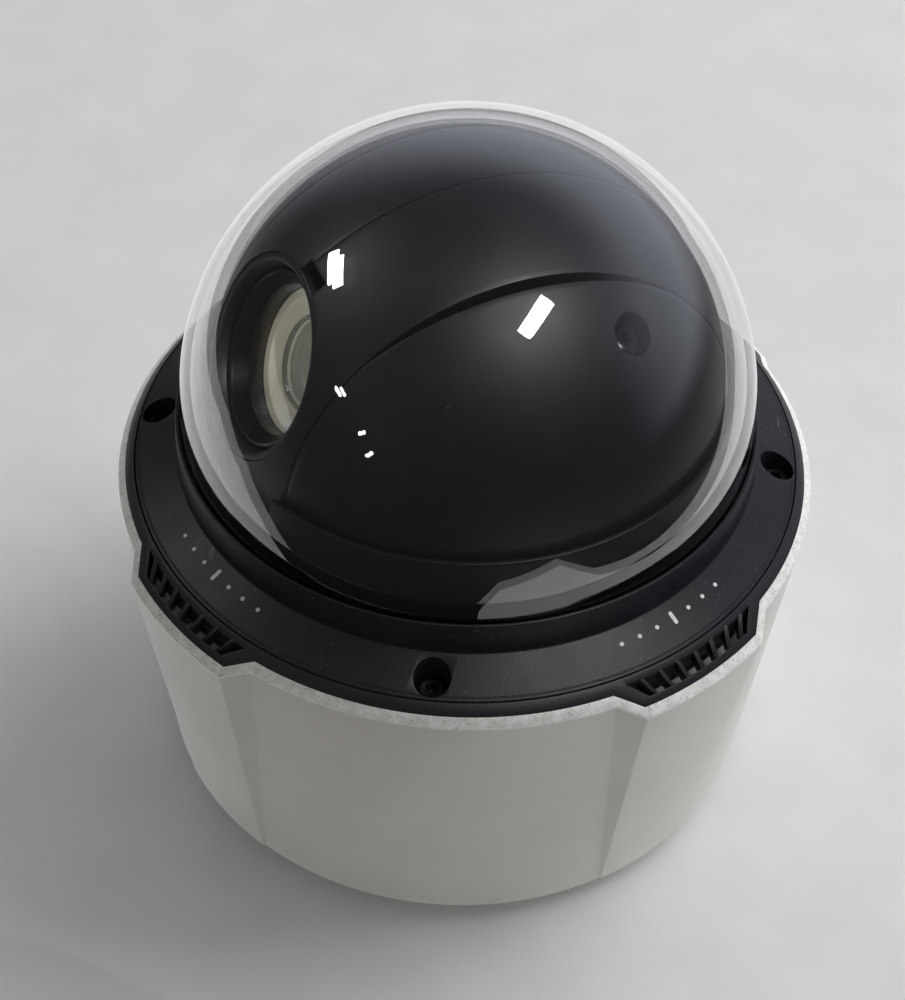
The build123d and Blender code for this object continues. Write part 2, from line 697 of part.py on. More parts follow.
def side_cover(side):
    """One fixed cheek of the ball, with its screw recess and the wedge-shaped gap to the band."""
    edge = BAND_HALF + COVER_GAP
    outer = Sphere(BALL_R)
    shell = outer - Sphere(BALL_R - BALL_WALL)
    boss = recess_frame(side) * disc(RECESS_R + 1.6, -RECESS_DEEP - 3, 2)
    shell = shell + (boss & outer)
    keep = block(-70, 70, edge, 70, COVER_FOOT, 70)
    rise = math.sqrt(BALL_R**2 - edge**2)
    gap_foot = 0.3 * rise
    wedge = [(edge - 1, gap_foot), (edge, gap_foot), (edge + COVER_WEDGE, rise), (edge + COVER_WEDGE, 70), (edge - 1, 70)]
    cutter = extrude(make_face(Plane.YZ * Polyline(*wedge, close=True)), 80, both=True)
    keep = keep - cutter
    if side < 0:
        keep = mirror(keep, Plane.XZ)
    shell = shell & keep
    shell = shell - recess_frame(side) * disc(RECESS_R, -RECESS_DEEP, 5)
    return at_ball(shell - recess_frame(side) * disc(1.6, -RECESS_DEEP - 5, 0))


def cover_screws():
    """One screw at the bottom of each cheek's recess."""
    one = Pos(0, 0, -RECESS_DEEP) * screw(3.0, 1.6, 1.5, 6, 1.3)
    return group([at_ball(recess_frame(side) * one) for side in (1, -1)])


# Tilt head
def ball_shell(side):
    """One half of the tilting band, split at the ball's middle, with its end web."""
    ball = Sphere(BALL_R)
    zone = ball - Sphere(BALL_R - BALL_WALL)
    web = along_y(disc(BALL_R, BAND_HALF - WEB_T, BAND_HALF)) & ball
    half = zone & block(-70, 70, SEAM_GAP / 2, BAND_HALF, -70, 70)
    half = half + web
    half = half - along_y(disc(SHAFT_R + 0.02, 20, 40))
    if side < 0:
        half = mirror(half, Plane.XZ)
    half = half - along_x(disc(HOOD_R + EASE, 30, 70))
    notch = block(48, 62, -1.5, 7.5, HOOD_R - 2, HOOD_R + 3.5)
    return on_tilt(half - notch)


def tilt_shafts():
    """The two stub shafts, flanged inside the band's webs."""
    flange_y = BAND_HALF - WEB_T - 2
    short = disc(9, flange_y, flange_y + 2) + disc(SHAFT_R, flange_y, ARM_Y + ARM_T + 2)
    long = disc(9, flange_y, flange_y + 2) + disc(SHAFT_R, flange_y, TILT_GEAR_Y + TILT_GEAR_T + 1)
    return group([at_ball(along_y(long)), at_ball(mirror(along_y(short), Plane.XZ))])


def tilt_gear():
    """The big tilt gear on the longer shaft."""
    wheel = gear(GEAR_TEETH, TILT_MODULE, TILT_GEAR_T, SHAFT_R + 0.02)
    return at_ball(along_y(Pos(0, 0, TILT_GEAR_Y) * wheel))


def camera_bracket():
    """The folded bracket that hangs the camera block between the shafts."""
    side = BLOCK_HALF + EASE
    sheet = block(-24, 6, -side - 1.5, side + 1.5, -side - 1.5, -side)
    for sign in (1, -1):
        wall = block(-24, 6, side, side + 1.5, -side - 1.5, 9)
        wall = wall + along_y(disc(6, side + 1, BAND_HALF - WEB_T - 2))
        sheet = sheet + (wall if sign > 0 else mirror(wall, Plane.XZ))
    return on_tilt(sheet)


def camera_block():
    """The zoom camera's body, bored for its moving lens groups."""
    half = BLOCK_HALF
    body = block(BLOCK_BACK, BARREL_BACK, -half, half, -half, half)
    return on_tilt(body - along_x(disc(GROUP_BORE_R, BLOCK_BACK + 4, BARREL_BACK + 1)))


def sensor_board():
    """The image sensor's board behind the camera block."""
    board = block(BLOCK_BACK - 1.8, BLOCK_BACK - 0.2, -16, 16, -16, 16)
    return on_tilt(board + block(BLOCK_BACK - 4.2, BLOCK_BACK - 1.7, -5, 5, -4, 4))


def lens_hood():
    """The round boss that fills the ball's opening round the barrel."""
    front = math.sqrt(BALL_R**2 - HOOD_R**2) - 0.4
    ring = turned(
        [
            (HOOD_IN_R, HOOD_BACK),
            (HOOD_R, HOOD_BACK),
            (HOOD_R, front - 0.5),
            (HOOD_R - 0.5, front),
            (HOOD_IN_R + 1.2, front),
            (HOOD_IN_R, front - 2.5),
        ]
    )
    return on_tilt(along_x(ring))


def lens_barrel():
    """The lens barrel: thin front rim, black cone down to the glass, open bore behind."""
    barrel = turned(
        [
            (BARREL_BORE_R, BARREL_BACK),
            (BARREL_R, BARREL_BACK),
            (BARREL_R, BARREL_FRONT - 0.4),
            (BARREL_R - 0.4, BARREL_FRONT),
            (BARREL_R - 1.0, BARREL_FRONT),
            (GLASS_R + EASE, GLASS_EDGE + 1.2),
            (GLASS_R + EASE, GLASS_EDGE - GLASS_T),
            (BARREL_BORE_R, GLASS_EDGE - GLASS_T),
        ]
    )
    return on_tilt(along_x(barrel))


def lens_element(radius, edge, thickness, bulge):
    """A lens with a convex front and a flat back, along Z."""
    ball_r = (radius * radius + bulge * bulge) / (2 * bulge)
    cap = Pos(0, 0, edge + bulge - ball_r) * Sphere(ball_r)
    return disc(radius, edge - thickness, edge + bulge) & cap


def front_lens():
    """The convex front element."""
    return on_tilt(along_x(lens_element(GLASS_R, GLASS_EDGE, GLASS_T, GLASS_BULGE)))


def lens_cell(front, length):
    """A sliding cell of the zoom camera."""
    return on_tilt(along_x(tube(11.1, CELL_R, front - length, front)))


def cell_lens(front, length):
    """The glass held in a sliding cell."""
    return on_tilt(along_x(lens_element(11.0, front - 1.5, length - 3, 1.4)))


PARTS = {
    "housing_floor": housing_floor,
    "housing_shell": housing_shell,
    "base_plate": base_plate,
    "base_screws": base_screws,
    "trim_ring": trim_ring,
    "dome_ring": dome_ring,
    "dome_screws": dome_screws,
    "dome_bubble": dome_bubble,
    "dome_gasket": dome_gasket,
    "connector_tray": connector_tray,
    "network_jack": network_jack,
    "power_terminal": power_terminal,
    "button_switch": button_switch,
    "reset_button": reset_button,
    "main_board": main_board,
    "board_standoffs": board_standoffs,
    "chassis_posts": chassis_posts,
    "chassis_plate": chassis_plate,
    "pan_bearing": pan_bearing,
    "pan_motor": pan_motor,
    "pan_pinion": pan_pinion,
    "slip_ring_stator": slip_ring_stator,
    "slip_ring_rotor": slip_ring_rotor,
    "fan_frame": fan_frame,
    "fan_rotor": fan_rotor,
    "pan_platform": pan_platform,
    "pan_gear": pan_gear,
    "pan_shroud": pan_shroud,
    "yoke_arm_near": lambda: yoke_arm(1),
    "yoke_arm_far": lambda: yoke_arm(-1),
    "tilt_bearings": tilt_bearings,
    "tilt_motor": tilt_motor,
    "tilt_pinion": tilt_pinion,
    "side_cover_near": lambda: side_cover(1),
    "side_cover_far": lambda: side_cover(-1),
    "cover_screws": cover_screws,
    "ball_shell_near": lambda: ball_shell(1),
    "ball_shell_far": lambda: ball_shell(-1),
    "tilt_shafts": tilt_shafts,
    "tilt_gear": tilt_gear,
    "camera_bracket": camera_bracket,
    "camera_block": camera_block,
    "sensor_board": sensor_board,
    "lens_hood": lens_hood,
    "lens_barrel": lens_barrel,
    "front_lens": front_lens,
    "zoom_cell": lambda: lens_cell(0, 7),
    "zoom_lens": lambda: cell_lens(0, 7),
    "focus_cell": lambda: lens_cell(-17, 6),
    "focus_lens": lambda: cell_lens(-17, 6),
}

os.makedirs("parts", exist_ok=True)
for name, build in PARTS.items():
    export_step(build(), f"parts/{name}.step")
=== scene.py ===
"""A pan-tilt-zoom dome camera standing dome up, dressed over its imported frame.

Lengths inside the classes are millimetres; meshes are written in metres.
"""

from __future__ import annotations

import json
import logging
import math
from dataclasses import dataclass, field
from enum import Enum

import bmesh
import bpy
from mathutils import Matrix, Vector

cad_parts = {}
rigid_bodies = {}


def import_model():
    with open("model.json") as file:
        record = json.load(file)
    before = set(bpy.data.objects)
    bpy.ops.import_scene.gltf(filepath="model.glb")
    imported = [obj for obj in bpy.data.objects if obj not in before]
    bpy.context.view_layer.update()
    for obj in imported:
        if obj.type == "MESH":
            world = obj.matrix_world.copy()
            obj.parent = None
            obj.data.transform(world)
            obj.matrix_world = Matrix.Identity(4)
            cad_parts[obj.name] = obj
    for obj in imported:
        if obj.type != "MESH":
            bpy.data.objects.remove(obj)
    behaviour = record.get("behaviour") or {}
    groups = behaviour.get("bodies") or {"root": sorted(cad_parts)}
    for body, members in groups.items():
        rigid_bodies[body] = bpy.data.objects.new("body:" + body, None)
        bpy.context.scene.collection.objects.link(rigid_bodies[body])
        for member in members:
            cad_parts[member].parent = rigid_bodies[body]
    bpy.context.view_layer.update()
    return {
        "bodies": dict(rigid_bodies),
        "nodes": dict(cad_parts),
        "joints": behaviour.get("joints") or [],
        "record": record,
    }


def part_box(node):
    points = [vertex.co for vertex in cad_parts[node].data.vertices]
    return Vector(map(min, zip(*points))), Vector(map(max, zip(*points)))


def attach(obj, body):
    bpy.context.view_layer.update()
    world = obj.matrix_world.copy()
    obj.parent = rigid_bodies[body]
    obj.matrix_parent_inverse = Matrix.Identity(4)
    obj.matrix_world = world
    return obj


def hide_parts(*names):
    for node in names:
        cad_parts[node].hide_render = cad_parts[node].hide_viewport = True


LOG = logging.getLogger("dome_camera")
MM = 0.001
Colour = tuple[float, float, float]
Point = tuple[float, float, float]
Profile = list[tuple[float, float]]


# Shader and layout maths
class Wire:
    """A socket that takes part in Python arithmetic."""

    def __init__(self, graph: "Graph", socket: bpy.types.NodeSocket) -> None:
        """Keep the socket and the graph that it belongs to."""
        self.graph = graph
        self.socket = socket

    def __add__(self, other: "Wire | float") -> "Wire":
        """Sum."""
        return self.graph.maths("ADD", self, other)

    def __radd__(self, other: float) -> "Wire":
        """Sum with a number on the left."""
        return self.graph.maths("ADD", other, self)

    def __sub__(self, other: "Wire | float") -> "Wire":
        """Difference."""
        return self.graph.maths("SUBTRACT", self, other)

    def __rsub__(self, other: float) -> "Wire":
        """Difference with a number on the left."""
        return self.graph.maths("SUBTRACT", other, self)

    def __mul__(self, other: "Wire | float") -> "Wire":
        """Product."""
        return self.graph.maths("MULTIPLY", self, other)

    def __rmul__(self, other: float) -> "Wire":
        """Product with a number on the left."""
        return self.graph.maths("MULTIPLY", other, self)

    def __truediv__(self, other: "Wire | float") -> "Wire":
        """Quotient."""
        return self.graph.maths("DIVIDE", self, other)

    def __pow__(self, other: "Wire | float") -> "Wire":
        """Power."""
        return self.graph.maths("POWER", self, other)

    def ramp(self, low: float, high: float) -> "Wire":
        """Smooth step from 0 at low to 1 at high.

        Args:
            low: Value that gives 0.
            high: Value that gives 1.

        Returns:
            The stepped value.
        """
        settings = {"interpolation_type": "SMOOTHSTEP", "clamp": True}
        node = self.graph.node("ShaderNodeMapRange", settings, Value=self, From_Min=low, From_Max=high)
        return Wire(self.graph, node.outputs["Result"])


class Graph:
    """A node tree that is written as expressions."""

    def __init__(self, tree: bpy.types.NodeTree) -> None:
        """Take over an empty tree."""
        self.tree = tree

    def node(self, kind: str, settings: dict | None = None, **inputs: object) -> bpy.types.Node:
        """Add one node.

        Args:
            kind: The node's type name.
            settings: Attributes to set before its sockets are used.
            inputs: Values or wires by socket name, with _ for a space.

        Returns:
            The node.
        """
        made = self.tree.nodes.new(kind)
        for key, value in (settings or {}).items():
            setattr(made, key, value)
        for key, value in inputs.items():
            self.feed(made.inputs[key.replace("_", " ")], value)
        return made

    def feed(self, socket: bpy.types.NodeSocket, value: object) -> None:
        """Link a wire to a socket, or set the socket's own value."""
        if isinstance(value, Wire):
            self.tree.links.new(value.socket, socket)
        else:
            socket.default_value = value

    def maths(self, operation: str, *values: "Wire | float") -> Wire:
        """One Math node.

        Args:
            operation: The node's operation.
            values: Its operands in order.

        Returns:
            The result.
        """
        made = self.node("ShaderNodeMath", {"operation": operation})
        for socket, value in zip(made.inputs, values):
            self.feed(socket, value)
        return Wire(self, made.outputs[0])

    def wire(self, made: bpy.types.Node, output: str) -> Wire:
        """A named output of a node."""
        return Wire(self, made.outputs[output])

    def blend(self, share: "Wire | float", first: object, second: object) -> Wire:
        """Colour that goes from first to second as share goes from 0 to 1."""
        made = self.node("ShaderNodeMix", {"data_type": "RGBA"})
        self.feed(made.inputs[0], share)
        self.feed(made.inputs[6], first)
        self.feed(made.inputs[7], second)
        return Wire(self, made.outputs[2])


def rgba(colour: Colour) -> tuple[float, float, float, float]:
    """An opaque colour."""
    return (*colour, 1.0)


# Finishes
class Grain(Enum):
    """How a surface's fine texture lies."""

    MOULDED = (1.0, 1.0, 1.0)
    BRUSHED_X = (0.04, 1.0, 1.0)
    BRUSHED_Z = (1.0, 1.0, 0.04)


@dataclass(frozen=True)
class Finish:
    """A surface with fine grain, slow tone changes and a sprinkle of specks."""

    name: str
    colour: Colour
    roughness: float
    metallic: float = 0.0
    grain: Grain = Grain.MOULDED
    grain_scale: float = 2600.0
    grain_depth: float = 0.12
    tone: float = 0.12
    specks: float = 0.0
    speck_colour: Colour = (0.5, 0.5, 0.5)
    coat: float = 0.0
    specular: float = 0.5
    glow: float = 0.0

    def material(self) -> bpy.types.Material:
        """The finish as a material, made once and shared."""
        label = f"look_{self.name}"
        made = bpy.data.materials.get(label)
        if made is None:
            made = bpy.data.materials.new(label)
            made.use_nodes = True
            made.node_tree.nodes.clear()
            graph = Graph(made.node_tree)
            out = graph.node("ShaderNodeOutputMaterial")
            graph.feed(out.inputs["Surface"], self.surface(graph))
            made.diffuse_color = rgba(self.colour)
        return made

    def place(self, graph: Graph) -> Wire:
        """The piece's own coordinates."""
        return graph.wire(graph.node("ShaderNodeTexCoord"), "Object")

    def noise(self, graph: Graph, scale: float, detail: float = 3.0, stretch: Point = (1, 1, 1)) -> Wire:
        """Noise on the piece's coordinates.

        Args:
            graph: The material's graph.
            scale: Cycles per metre.
            detail: Octaves.
            stretch: Scale along each axis.

        Returns:
            The noise, around one half.
        """
        mapping = graph.node("ShaderNodeMapping", None, Vector=self.place(graph), Scale=stretch)
        vector = graph.wire(mapping, "Vector")
        made = graph.node("ShaderNodeTexNoise", None, Vector=vector, Scale=scale, Detail=detail)
        return Wire(graph, made.outputs[0])

    def base(self, graph: Graph) -> Wire:
        """Base colour with slow changes of tone and specks."""
        slow = self.noise(graph, 38.0)
        dark = tuple(c * (1 - self.tone) for c in self.colour)
        light = tuple(min(1.0, c * (1 + self.tone)) for c in self.colour)
        colour = graph.blend(slow.ramp(0.3, 0.7), rgba(dark), rgba(light))
        if self.specks:
            dust_and_foot_darkening = self.noise(graph, 1500.0, 1.0).ramp(0.74, 0.78) * self.specks
            colour = graph.blend(dust_and_foot_darkening, colour, rgba(self.speck_colour))
        return colour

    def rough(self, graph: Graph) -> Wire:
        """Roughness with a slow change."""
        return self.roughness * 0.86 + self.noise(graph, 90.0) * (self.roughness * 0.28)

    def relief(self, graph: Graph) -> Wire:
        """Normal with the fine grain."""
        height = self.noise(graph, self.grain_scale, 2.0, self.grain.value)
        bump = graph.node("ShaderNodeBump", None, Strength=self.grain_depth, Distance=0.0002, Height=height)
        return graph.wire(bump, "Normal")

    def surface(self, graph: Graph) -> Wire:
        """The shader."""
        colour = self.base(graph)
        made = graph.node(
            "ShaderNodeBsdfPrincipled",
            None,
            Base_Color=colour,
            Roughness=self.rough(graph),
            Metallic=self.metallic,
            Specular_IOR_Level=self.specular,
            Coat_Weight=self.coat,
            Coat_Roughness=0.12,
        )
        if self.grain_depth:
            graph.feed(made.inputs["Normal"], self.relief(graph))
        if self.glow:
            graph.feed(made.inputs["Emission Color"], colour)
            graph.feed(made.inputs["Emission Strength"], self.glow)
        return graph.wire(made, "BSDF")


@dataclass(frozen=True)
class WornPaint(Finish):
    """Satin paint over metal, rubbed and speckled along a bevelled rim and darker in patches towards the
    foot.
    """

    bevel_top: float = 96.4
    bevel_slope: float = 0.98
    bevel_in_r: float = 85.3
    worn: Colour = (1.0, 1.0, 0.98)

    def base(self, graph: Graph) -> Wire:
        """Paint, the rubbed rim and the patchy darkening towards the foot."""
        paint = super().base(graph)
        spot = graph.node("ShaderNodeSeparateXYZ", None, Vector=self.place(graph))
        x, y, z = (Wire(graph, spot.outputs[k]) for k in range(3))
        radius = (x * x + y * y) ** 0.5
        line = self.bevel_top * MM - (radius - self.bevel_in_r * MM) * self.bevel_slope
        on_rim = (z - line).ramp(-0.0012, -0.0002)
        rub = self.noise(graph, 420.0, 4.0).ramp(0.38, 0.66)
        colour = graph.blend(on_rim * (rub * 0.4 + 0.6), paint, rgba(self.worn))
        grit = self.noise(graph, 1900.0, 2.0).ramp(0.60, 0.68)
        colour = graph.blend(on_rim * grit * 0.45, colour, rgba((0.12, 0.12, 0.11)))
        # Patches go darker and browner towards the foot, fading out 22 mm up.
        dust_and_foot_darkening = (0.022 - z).ramp(0.0, 0.016) * self.noise(graph, 60.0).ramp(0.35, 0.75) * 0.25
        return graph.blend(dust_and_foot_darkening, colour, rgba((0.42, 0.40, 0.35)))


@dataclass(frozen=True)
class Scuffed(Finish):
    """Black moulding with a few light hairline scuffs."""

    scuff: Colour = (0.16, 0.16, 0.17)

    def base(self, graph: Graph) -> Wire:
        """Black with scuffs where two stretched noises peak together."""
        colour = super().base(graph)
        lines = self.noise(graph, 260.0, 2.0, (1.0, 0.12, 1.0)).ramp(0.70, 0.73)
        where = self.noise(graph, 26.0, 1.0).ramp(0.56, 0.66)
        return graph.blend(lines * where * 0.6, colour, rgba(self.scuff))


@dataclass(frozen=True)
class ClearShell(Finish):
    """Thin clear plastic that mirrors more at grazing angles, with a haze and a little dust."""

    haze: float = 0.05

    def surface(self, graph: Graph) -> Wire:
        """Clear, mirrored by angle and hazed at the edge."""
        facing = graph.wire(graph.node("ShaderNodeLayerWeight", None, Blend=0.5), "Facing")
        clear = graph.wire(graph.node("ShaderNodeBsdfTransparent", None, Color=rgba(self.colour)), "BSDF")
        white = rgba((1.0, 1.0, 1.0))
        gloss = graph.node("ShaderNodeBsdfGlossy", None, Color=white, Roughness=self.roughness)
        veil = graph.node("ShaderNodeBsdfDiffuse", None, Color=rgba((0.80, 0.81, 0.82)))
        dust_and_foot_darkening = self.noise(graph, 700.0, 2.0).ramp(0.765, 0.79) * self.specks
        film = self.noise(graph, 30.0, 3.0) * 0.002
        cloud = facing**10.0 * self.haze + dust_and_foot_darkening + film
        hazy = self.mixed(graph, cloud, clear, graph.wire(veil, "BSDF"))
        mirror = facing ** 3.8 * 0.90 + 0.070
        return self.mixed(graph, mirror, hazy, graph.wire(gloss, "BSDF"))

    @staticmethod
    def mixed(graph: Graph, share: Wire, first: Wire, second: Wire) -> Wire:
        """Two shaders mixed by a share."""
        made = graph.node("ShaderNodeMixShader", None, Fac=share)
        graph.feed(made.inputs[1], first)
        graph.feed(made.inputs[2], second)
        return Wire(graph, made.outputs[0])


@dataclass(frozen=True)
class CoatedGlass(ClearShell):
    """Lens glass with a warm anti-glare coating."""

    sheen: Colour = (0.95, 0.85, 0.60)
    cool_sheen: Colour = (0.70, 0.80, 0.95)
    strength: float = 0.16

    def surface(self, graph: Graph) -> Wire:
        """Clear glass under a tinted mirror."""
        facing = graph.wire(graph.node("ShaderNodeLayerWeight", None, Blend=0.5), "Facing")
        clear = graph.wire(graph.node("ShaderNodeBsdfTransparent", None, Color=rgba(self.colour)), "BSDF")
        patches = self.noise(graph, 45.0, 1.0).ramp(0.3, 0.7)
        tint = graph.blend(patches, rgba(self.sheen), rgba(self.cool_sheen))
        gloss = graph.node("ShaderNodeBsdfGlossy", None, Color=tint, Roughness=self.roughness)
        mirror = facing ** 4.0 * 0.7 + self.strength
        return self.mixed(graph, mirror, clear, graph.wire(gloss, "BSDF"))


@dataclass(frozen=True)
class BoardMask(Finish):
    """Solder mask with straight tracks under it."""

    def base(self, graph: Graph) -> Wire:
        """Green with lighter tracks."""
        colour = super().base(graph)
        brick = graph.node(
            "ShaderNodeTexBrick",
            None,
            Vector=self.place(graph),
            Scale=260.0,
            Mortar_Size=0.03,
            Color1=rgba((0.0, 0.0, 0.0)),
            Color2=rgba((0.0, 0.0, 0.0)),
            Mortar=rgba((1.0, 1.0, 1.0)),
        )
        return graph.blend(graph.wire(brick, "Color"), colour, rgba((0.10, 0.30, 0.16)))


PAINT = WornPaint(
    "housing_paint", (0.60, 0.585, 0.545), 0.42, grain_scale=1500.0, grain_depth=0.10, tone=0.03
)
BASE_PAINT = Finish("base_paint", (0.28, 0.28, 0.28), 0.5, grain_depth=0.2)
TRIM = Scuffed("black_trim", (0.012, 0.0135, 0.017), 0.47, grain_depth=0.22, specks=0.12)
RING = Scuffed("ring_black", (0.013, 0.015, 0.019), 0.46, grain_depth=0.20, specks=0.25, specular=0.32)
LACQUER = Finish(
    "ball_lacquer", (0.004, 0.0047, 0.0065), 0.50, grain_depth=0.0, tone=0.25, coat=0.02, specular=0.8
)
SEAT_BLACK = Finish("seat_black", (0.008, 0.008, 0.009), 0.7, grain_depth=0.1)
SHROUD = Finish("shroud_black", (0.009, 0.010, 0.012), 0.38, grain_depth=0.12, specks=0.04)
LENS_BLACK = Finish("lens_black", (0.006, 0.006, 0.007), 0.55, grain_depth=0.15)
RIM_BLACK = Finish("lens_rim", (0.05, 0.05, 0.055), 0.30, metallic=0.6, grain_depth=0.05)
BUBBLE = ClearShell("clear_bubble", (0.975, 0.98, 0.982), 0.0, specks=0.10)
LENS_GLASS = CoatedGlass("lens_glass", (0.97, 0.96, 0.92), 0.01, strength=0.12)
INNER_GLASS = CoatedGlass("inner_glass", (0.95, 0.96, 0.95), 0.02, strength=0.14)
# Painted light: the lens dish glows though it is no lamp.
LENS_PAINTED_GLOW = Finish("lens_painted_glow", (0.86, 0.82, 0.73), 0.30, grain_depth=0.0, tone=0.22, coat=0.3, glow=0.27)
STEEL = Finish("plain_steel", (0.52, 0.52, 0.54), 0.32, metallic=1.0, grain=Grain.BRUSHED_X)
DARK_STEEL = Finish("dark_steel", (0.035, 0.035, 0.04), 0.30, metallic=0.75, grain_depth=0.1)
SHEET = Finish("sheet_metal", (0.60, 0.61, 0.62), 0.38, metallic=1.0, grain=Grain.BRUSHED_X)
BRASS = Finish("machined_brass", (0.70, 0.52, 0.24), 0.3, metallic=1.0, grain=Grain.BRUSHED_Z)
NYLON = Finish("natural_nylon", (0.68, 0.66, 0.59), 0.5)
GREY = Finish("grey_moulding", (0.075, 0.078, 0.085), 0.5, grain_depth=0.25)
RUBBER = Finish("seal_rubber", (0.018, 0.018, 0.018), 0.7, grain_depth=0.3)
BOARD = BoardMask("board_mask", (0.02, 0.13, 0.06), 0.35)
TIN = Finish("tinned_shield", (0.66, 0.66, 0.68), 0.24, metallic=1.0, grain=Grain.BRUSHED_Z)
GREEN = Finish("green_moulding", (0.03, 0.24, 0.10), 0.45)
RED = Finish("red_moulding", (0.42, 0.035, 0.03), 0.4)
PRINT = Finish("white_print", (0.80, 0.82, 0.83), 0.5, grain_depth=0.05, tone=0.05)

SLOT_FINISH: dict[str, Finish] = {
    "housing_paint": PAINT,
    "base_paint": BASE_PAINT,
    "black_trim": TRIM,
    "ball_black": LACQUER,
    "clear_dome": BUBBLE,
    "lens_glass": LENS_GLASS,
    "inner_glass": INNER_GLASS,
    "lens_black": LENS_BLACK,
    "screw_steel": STEEL,
    "dark_screw": DARK_STEEL,
    "seal_rubber": RUBBER,
    "board_green": BOARD,
    "chassis_metal": SHEET,
    "motor_steel": STEEL,
    "gear_nylon": NYLON,
    "pinion_brass": BRASS,
    "grey_plastic": GREY,
    "jack_metal": TIN,
    "terminal_green": GREEN,
    "button_red": RED,
}


# Mesh making
def mesh_object(
    name: str, built: bmesh.types.BMesh, finish: Finish, sharp_deg: float = 32.0
) -> bpy.types.Object:
    """Turn built geometry into a shaded object.

    Args:
        name: The piece's name.
        built: The geometry, in metres; it is freed.
        finish: What the piece is dressed in.
        sharp_deg: Edges steeper than this stay crisp.

    Returns:
        The new object.
    """
    bmesh.ops.remove_doubles(built, verts=built.verts, dist=1e-7)
    bmesh.ops.dissolve_degenerate(built, edges=built.edges, dist=1e-8)
    bmesh.ops.recalc_face_normals(built, faces=built.faces)
    mesh = bpy.data.meshes.new(name)
    built.to_mesh(mesh)
    built.free()
    made = bpy.data.objects.new(name, mesh)
    bpy.context.scene.collection.objects.link(made)
    mesh.materials.append(finish.material())
    shade(made, sharp_deg)
    return made


def shade(made: bpy.types.Object, sharp_deg: float) -> None:
    """Smooth faces with crisp edges above an angle."""
    made.data.shade_smooth()
    made.data.set_sharp_from_angle(angle=math.radians(sharp_deg))


def loft(rows: list[list[Point]], built: bmesh.types.BMesh | None = None) -> bmesh.types.BMesh:
    """Skin rows of points that each close on themselves, the last row joined to the first.

    Args:
        rows: Rows of equal length, in millimetres.
        built: Geometry to add to.

    Returns:
        The geometry, in metres.
    """
    built = built or bmesh.new()
    grid = [[built.verts.new(Vector(p) * MM) for p in row] for row in rows]
    count = len(rows[0])
    for low, high in zip(grid, grid[1:] + [grid[0]]):
        for k in range(count):
            n = (k + 1) % count
            built.faces.new((low[k], low[n], high[n], high[k]))
    return built


def softened(profile: Profile, radius: float) -> Profile:
    """A closed profile with each corner replaced by a short arc.

    Args:
        profile: Radius and height of each corner.
        radius: How far along each side the arc starts.

    Returns:
        The longer profile.
    """
    made: Profile = []
    for k, here in enumerate(profile):
        before, after = profile[k - 1], profile[(k + 1) % len(profile)]
        spot = Vector((*here, 0))
        if here[0] < 1e-6:
            made.append(here)
            continue
        ends = []
        for other in (before, after):
            way = Vector((*other, 0)) - spot
            ends.append(spot + way.normalized() * min(radius, way.length * 0.4))
        for t in (0.0, 0.33, 0.67, 1.0):
            bent = ends[0] * (1 - t) ** 2 + spot * 2 * t * (1 - t) + ends[1] * t**2
            made.append((bent.x, bent.y))
    return made


def arc_points(radius: float, start_deg: float, end_deg: float, count: int, centre: float = 0.0) -> Profile:
    """Points of an arc, as radius from the axis and height."""
    made: Profile = []
    for k in range(count):
        angle = math.radians(start_deg + (end_deg - start_deg) * k / (count - 1))
        made.append((max(0.0, radius * math.cos(angle)), centre + radius * math.sin(angle)))
    return made


def turned(profile: Profile, segments: int, built: bmesh.types.BMesh | None = None) -> bmesh.types.BMesh:
    """Spin a closed profile of (radius, height) about Z."""
    rows = []
    for r, z in profile:
        angles = [2 * math.pi * k / segments for k in range(segments)]
        rows.append([(r * math.cos(a), r * math.sin(a), z) for a in angles])
    return loft(rows, built)


def block(low: Point, high: Point) -> bmesh.types.BMesh:
    """A box between two corners, in millimetres."""
    built = bmesh.new()
    bmesh.ops.create_cube(built, size=1.0)
    for v in built.verts:
        v.co = Vector([(low[k] if v.co[k] < 0 else high[k]) * MM for k in range(3)])
    return built


def prism(plan: Profile, low: float, high: float) -> bmesh.types.BMesh:
    """A plan outline raised between two heights."""
    built = bmesh.new()
    bottom = [built.verts.new(Vector((x, y, low)) * MM) for x, y in plan]
    top = [built.verts.new(Vector((x, y, high)) * MM) for x, y in plan]
    built.faces.new(bottom)
    built.faces.new(top)
    for k in range(len(plan)):
        n = (k + 1) % len(plan)
        built.faces.new((bottom[k], bottom[n], top[n], top[k]))
    return built


def baked(source: bpy.types.Object) -> None:
    """Replace an object's mesh with what its modifiers give, and drop them."""
    bpy.context.view_layer.update()
    graph = bpy.context.evaluated_depsgraph_get()
    mesh = bpy.data.meshes.new_from_object(source.evaluated_get(graph))
    source.modifiers.clear()
    source.data = mesh


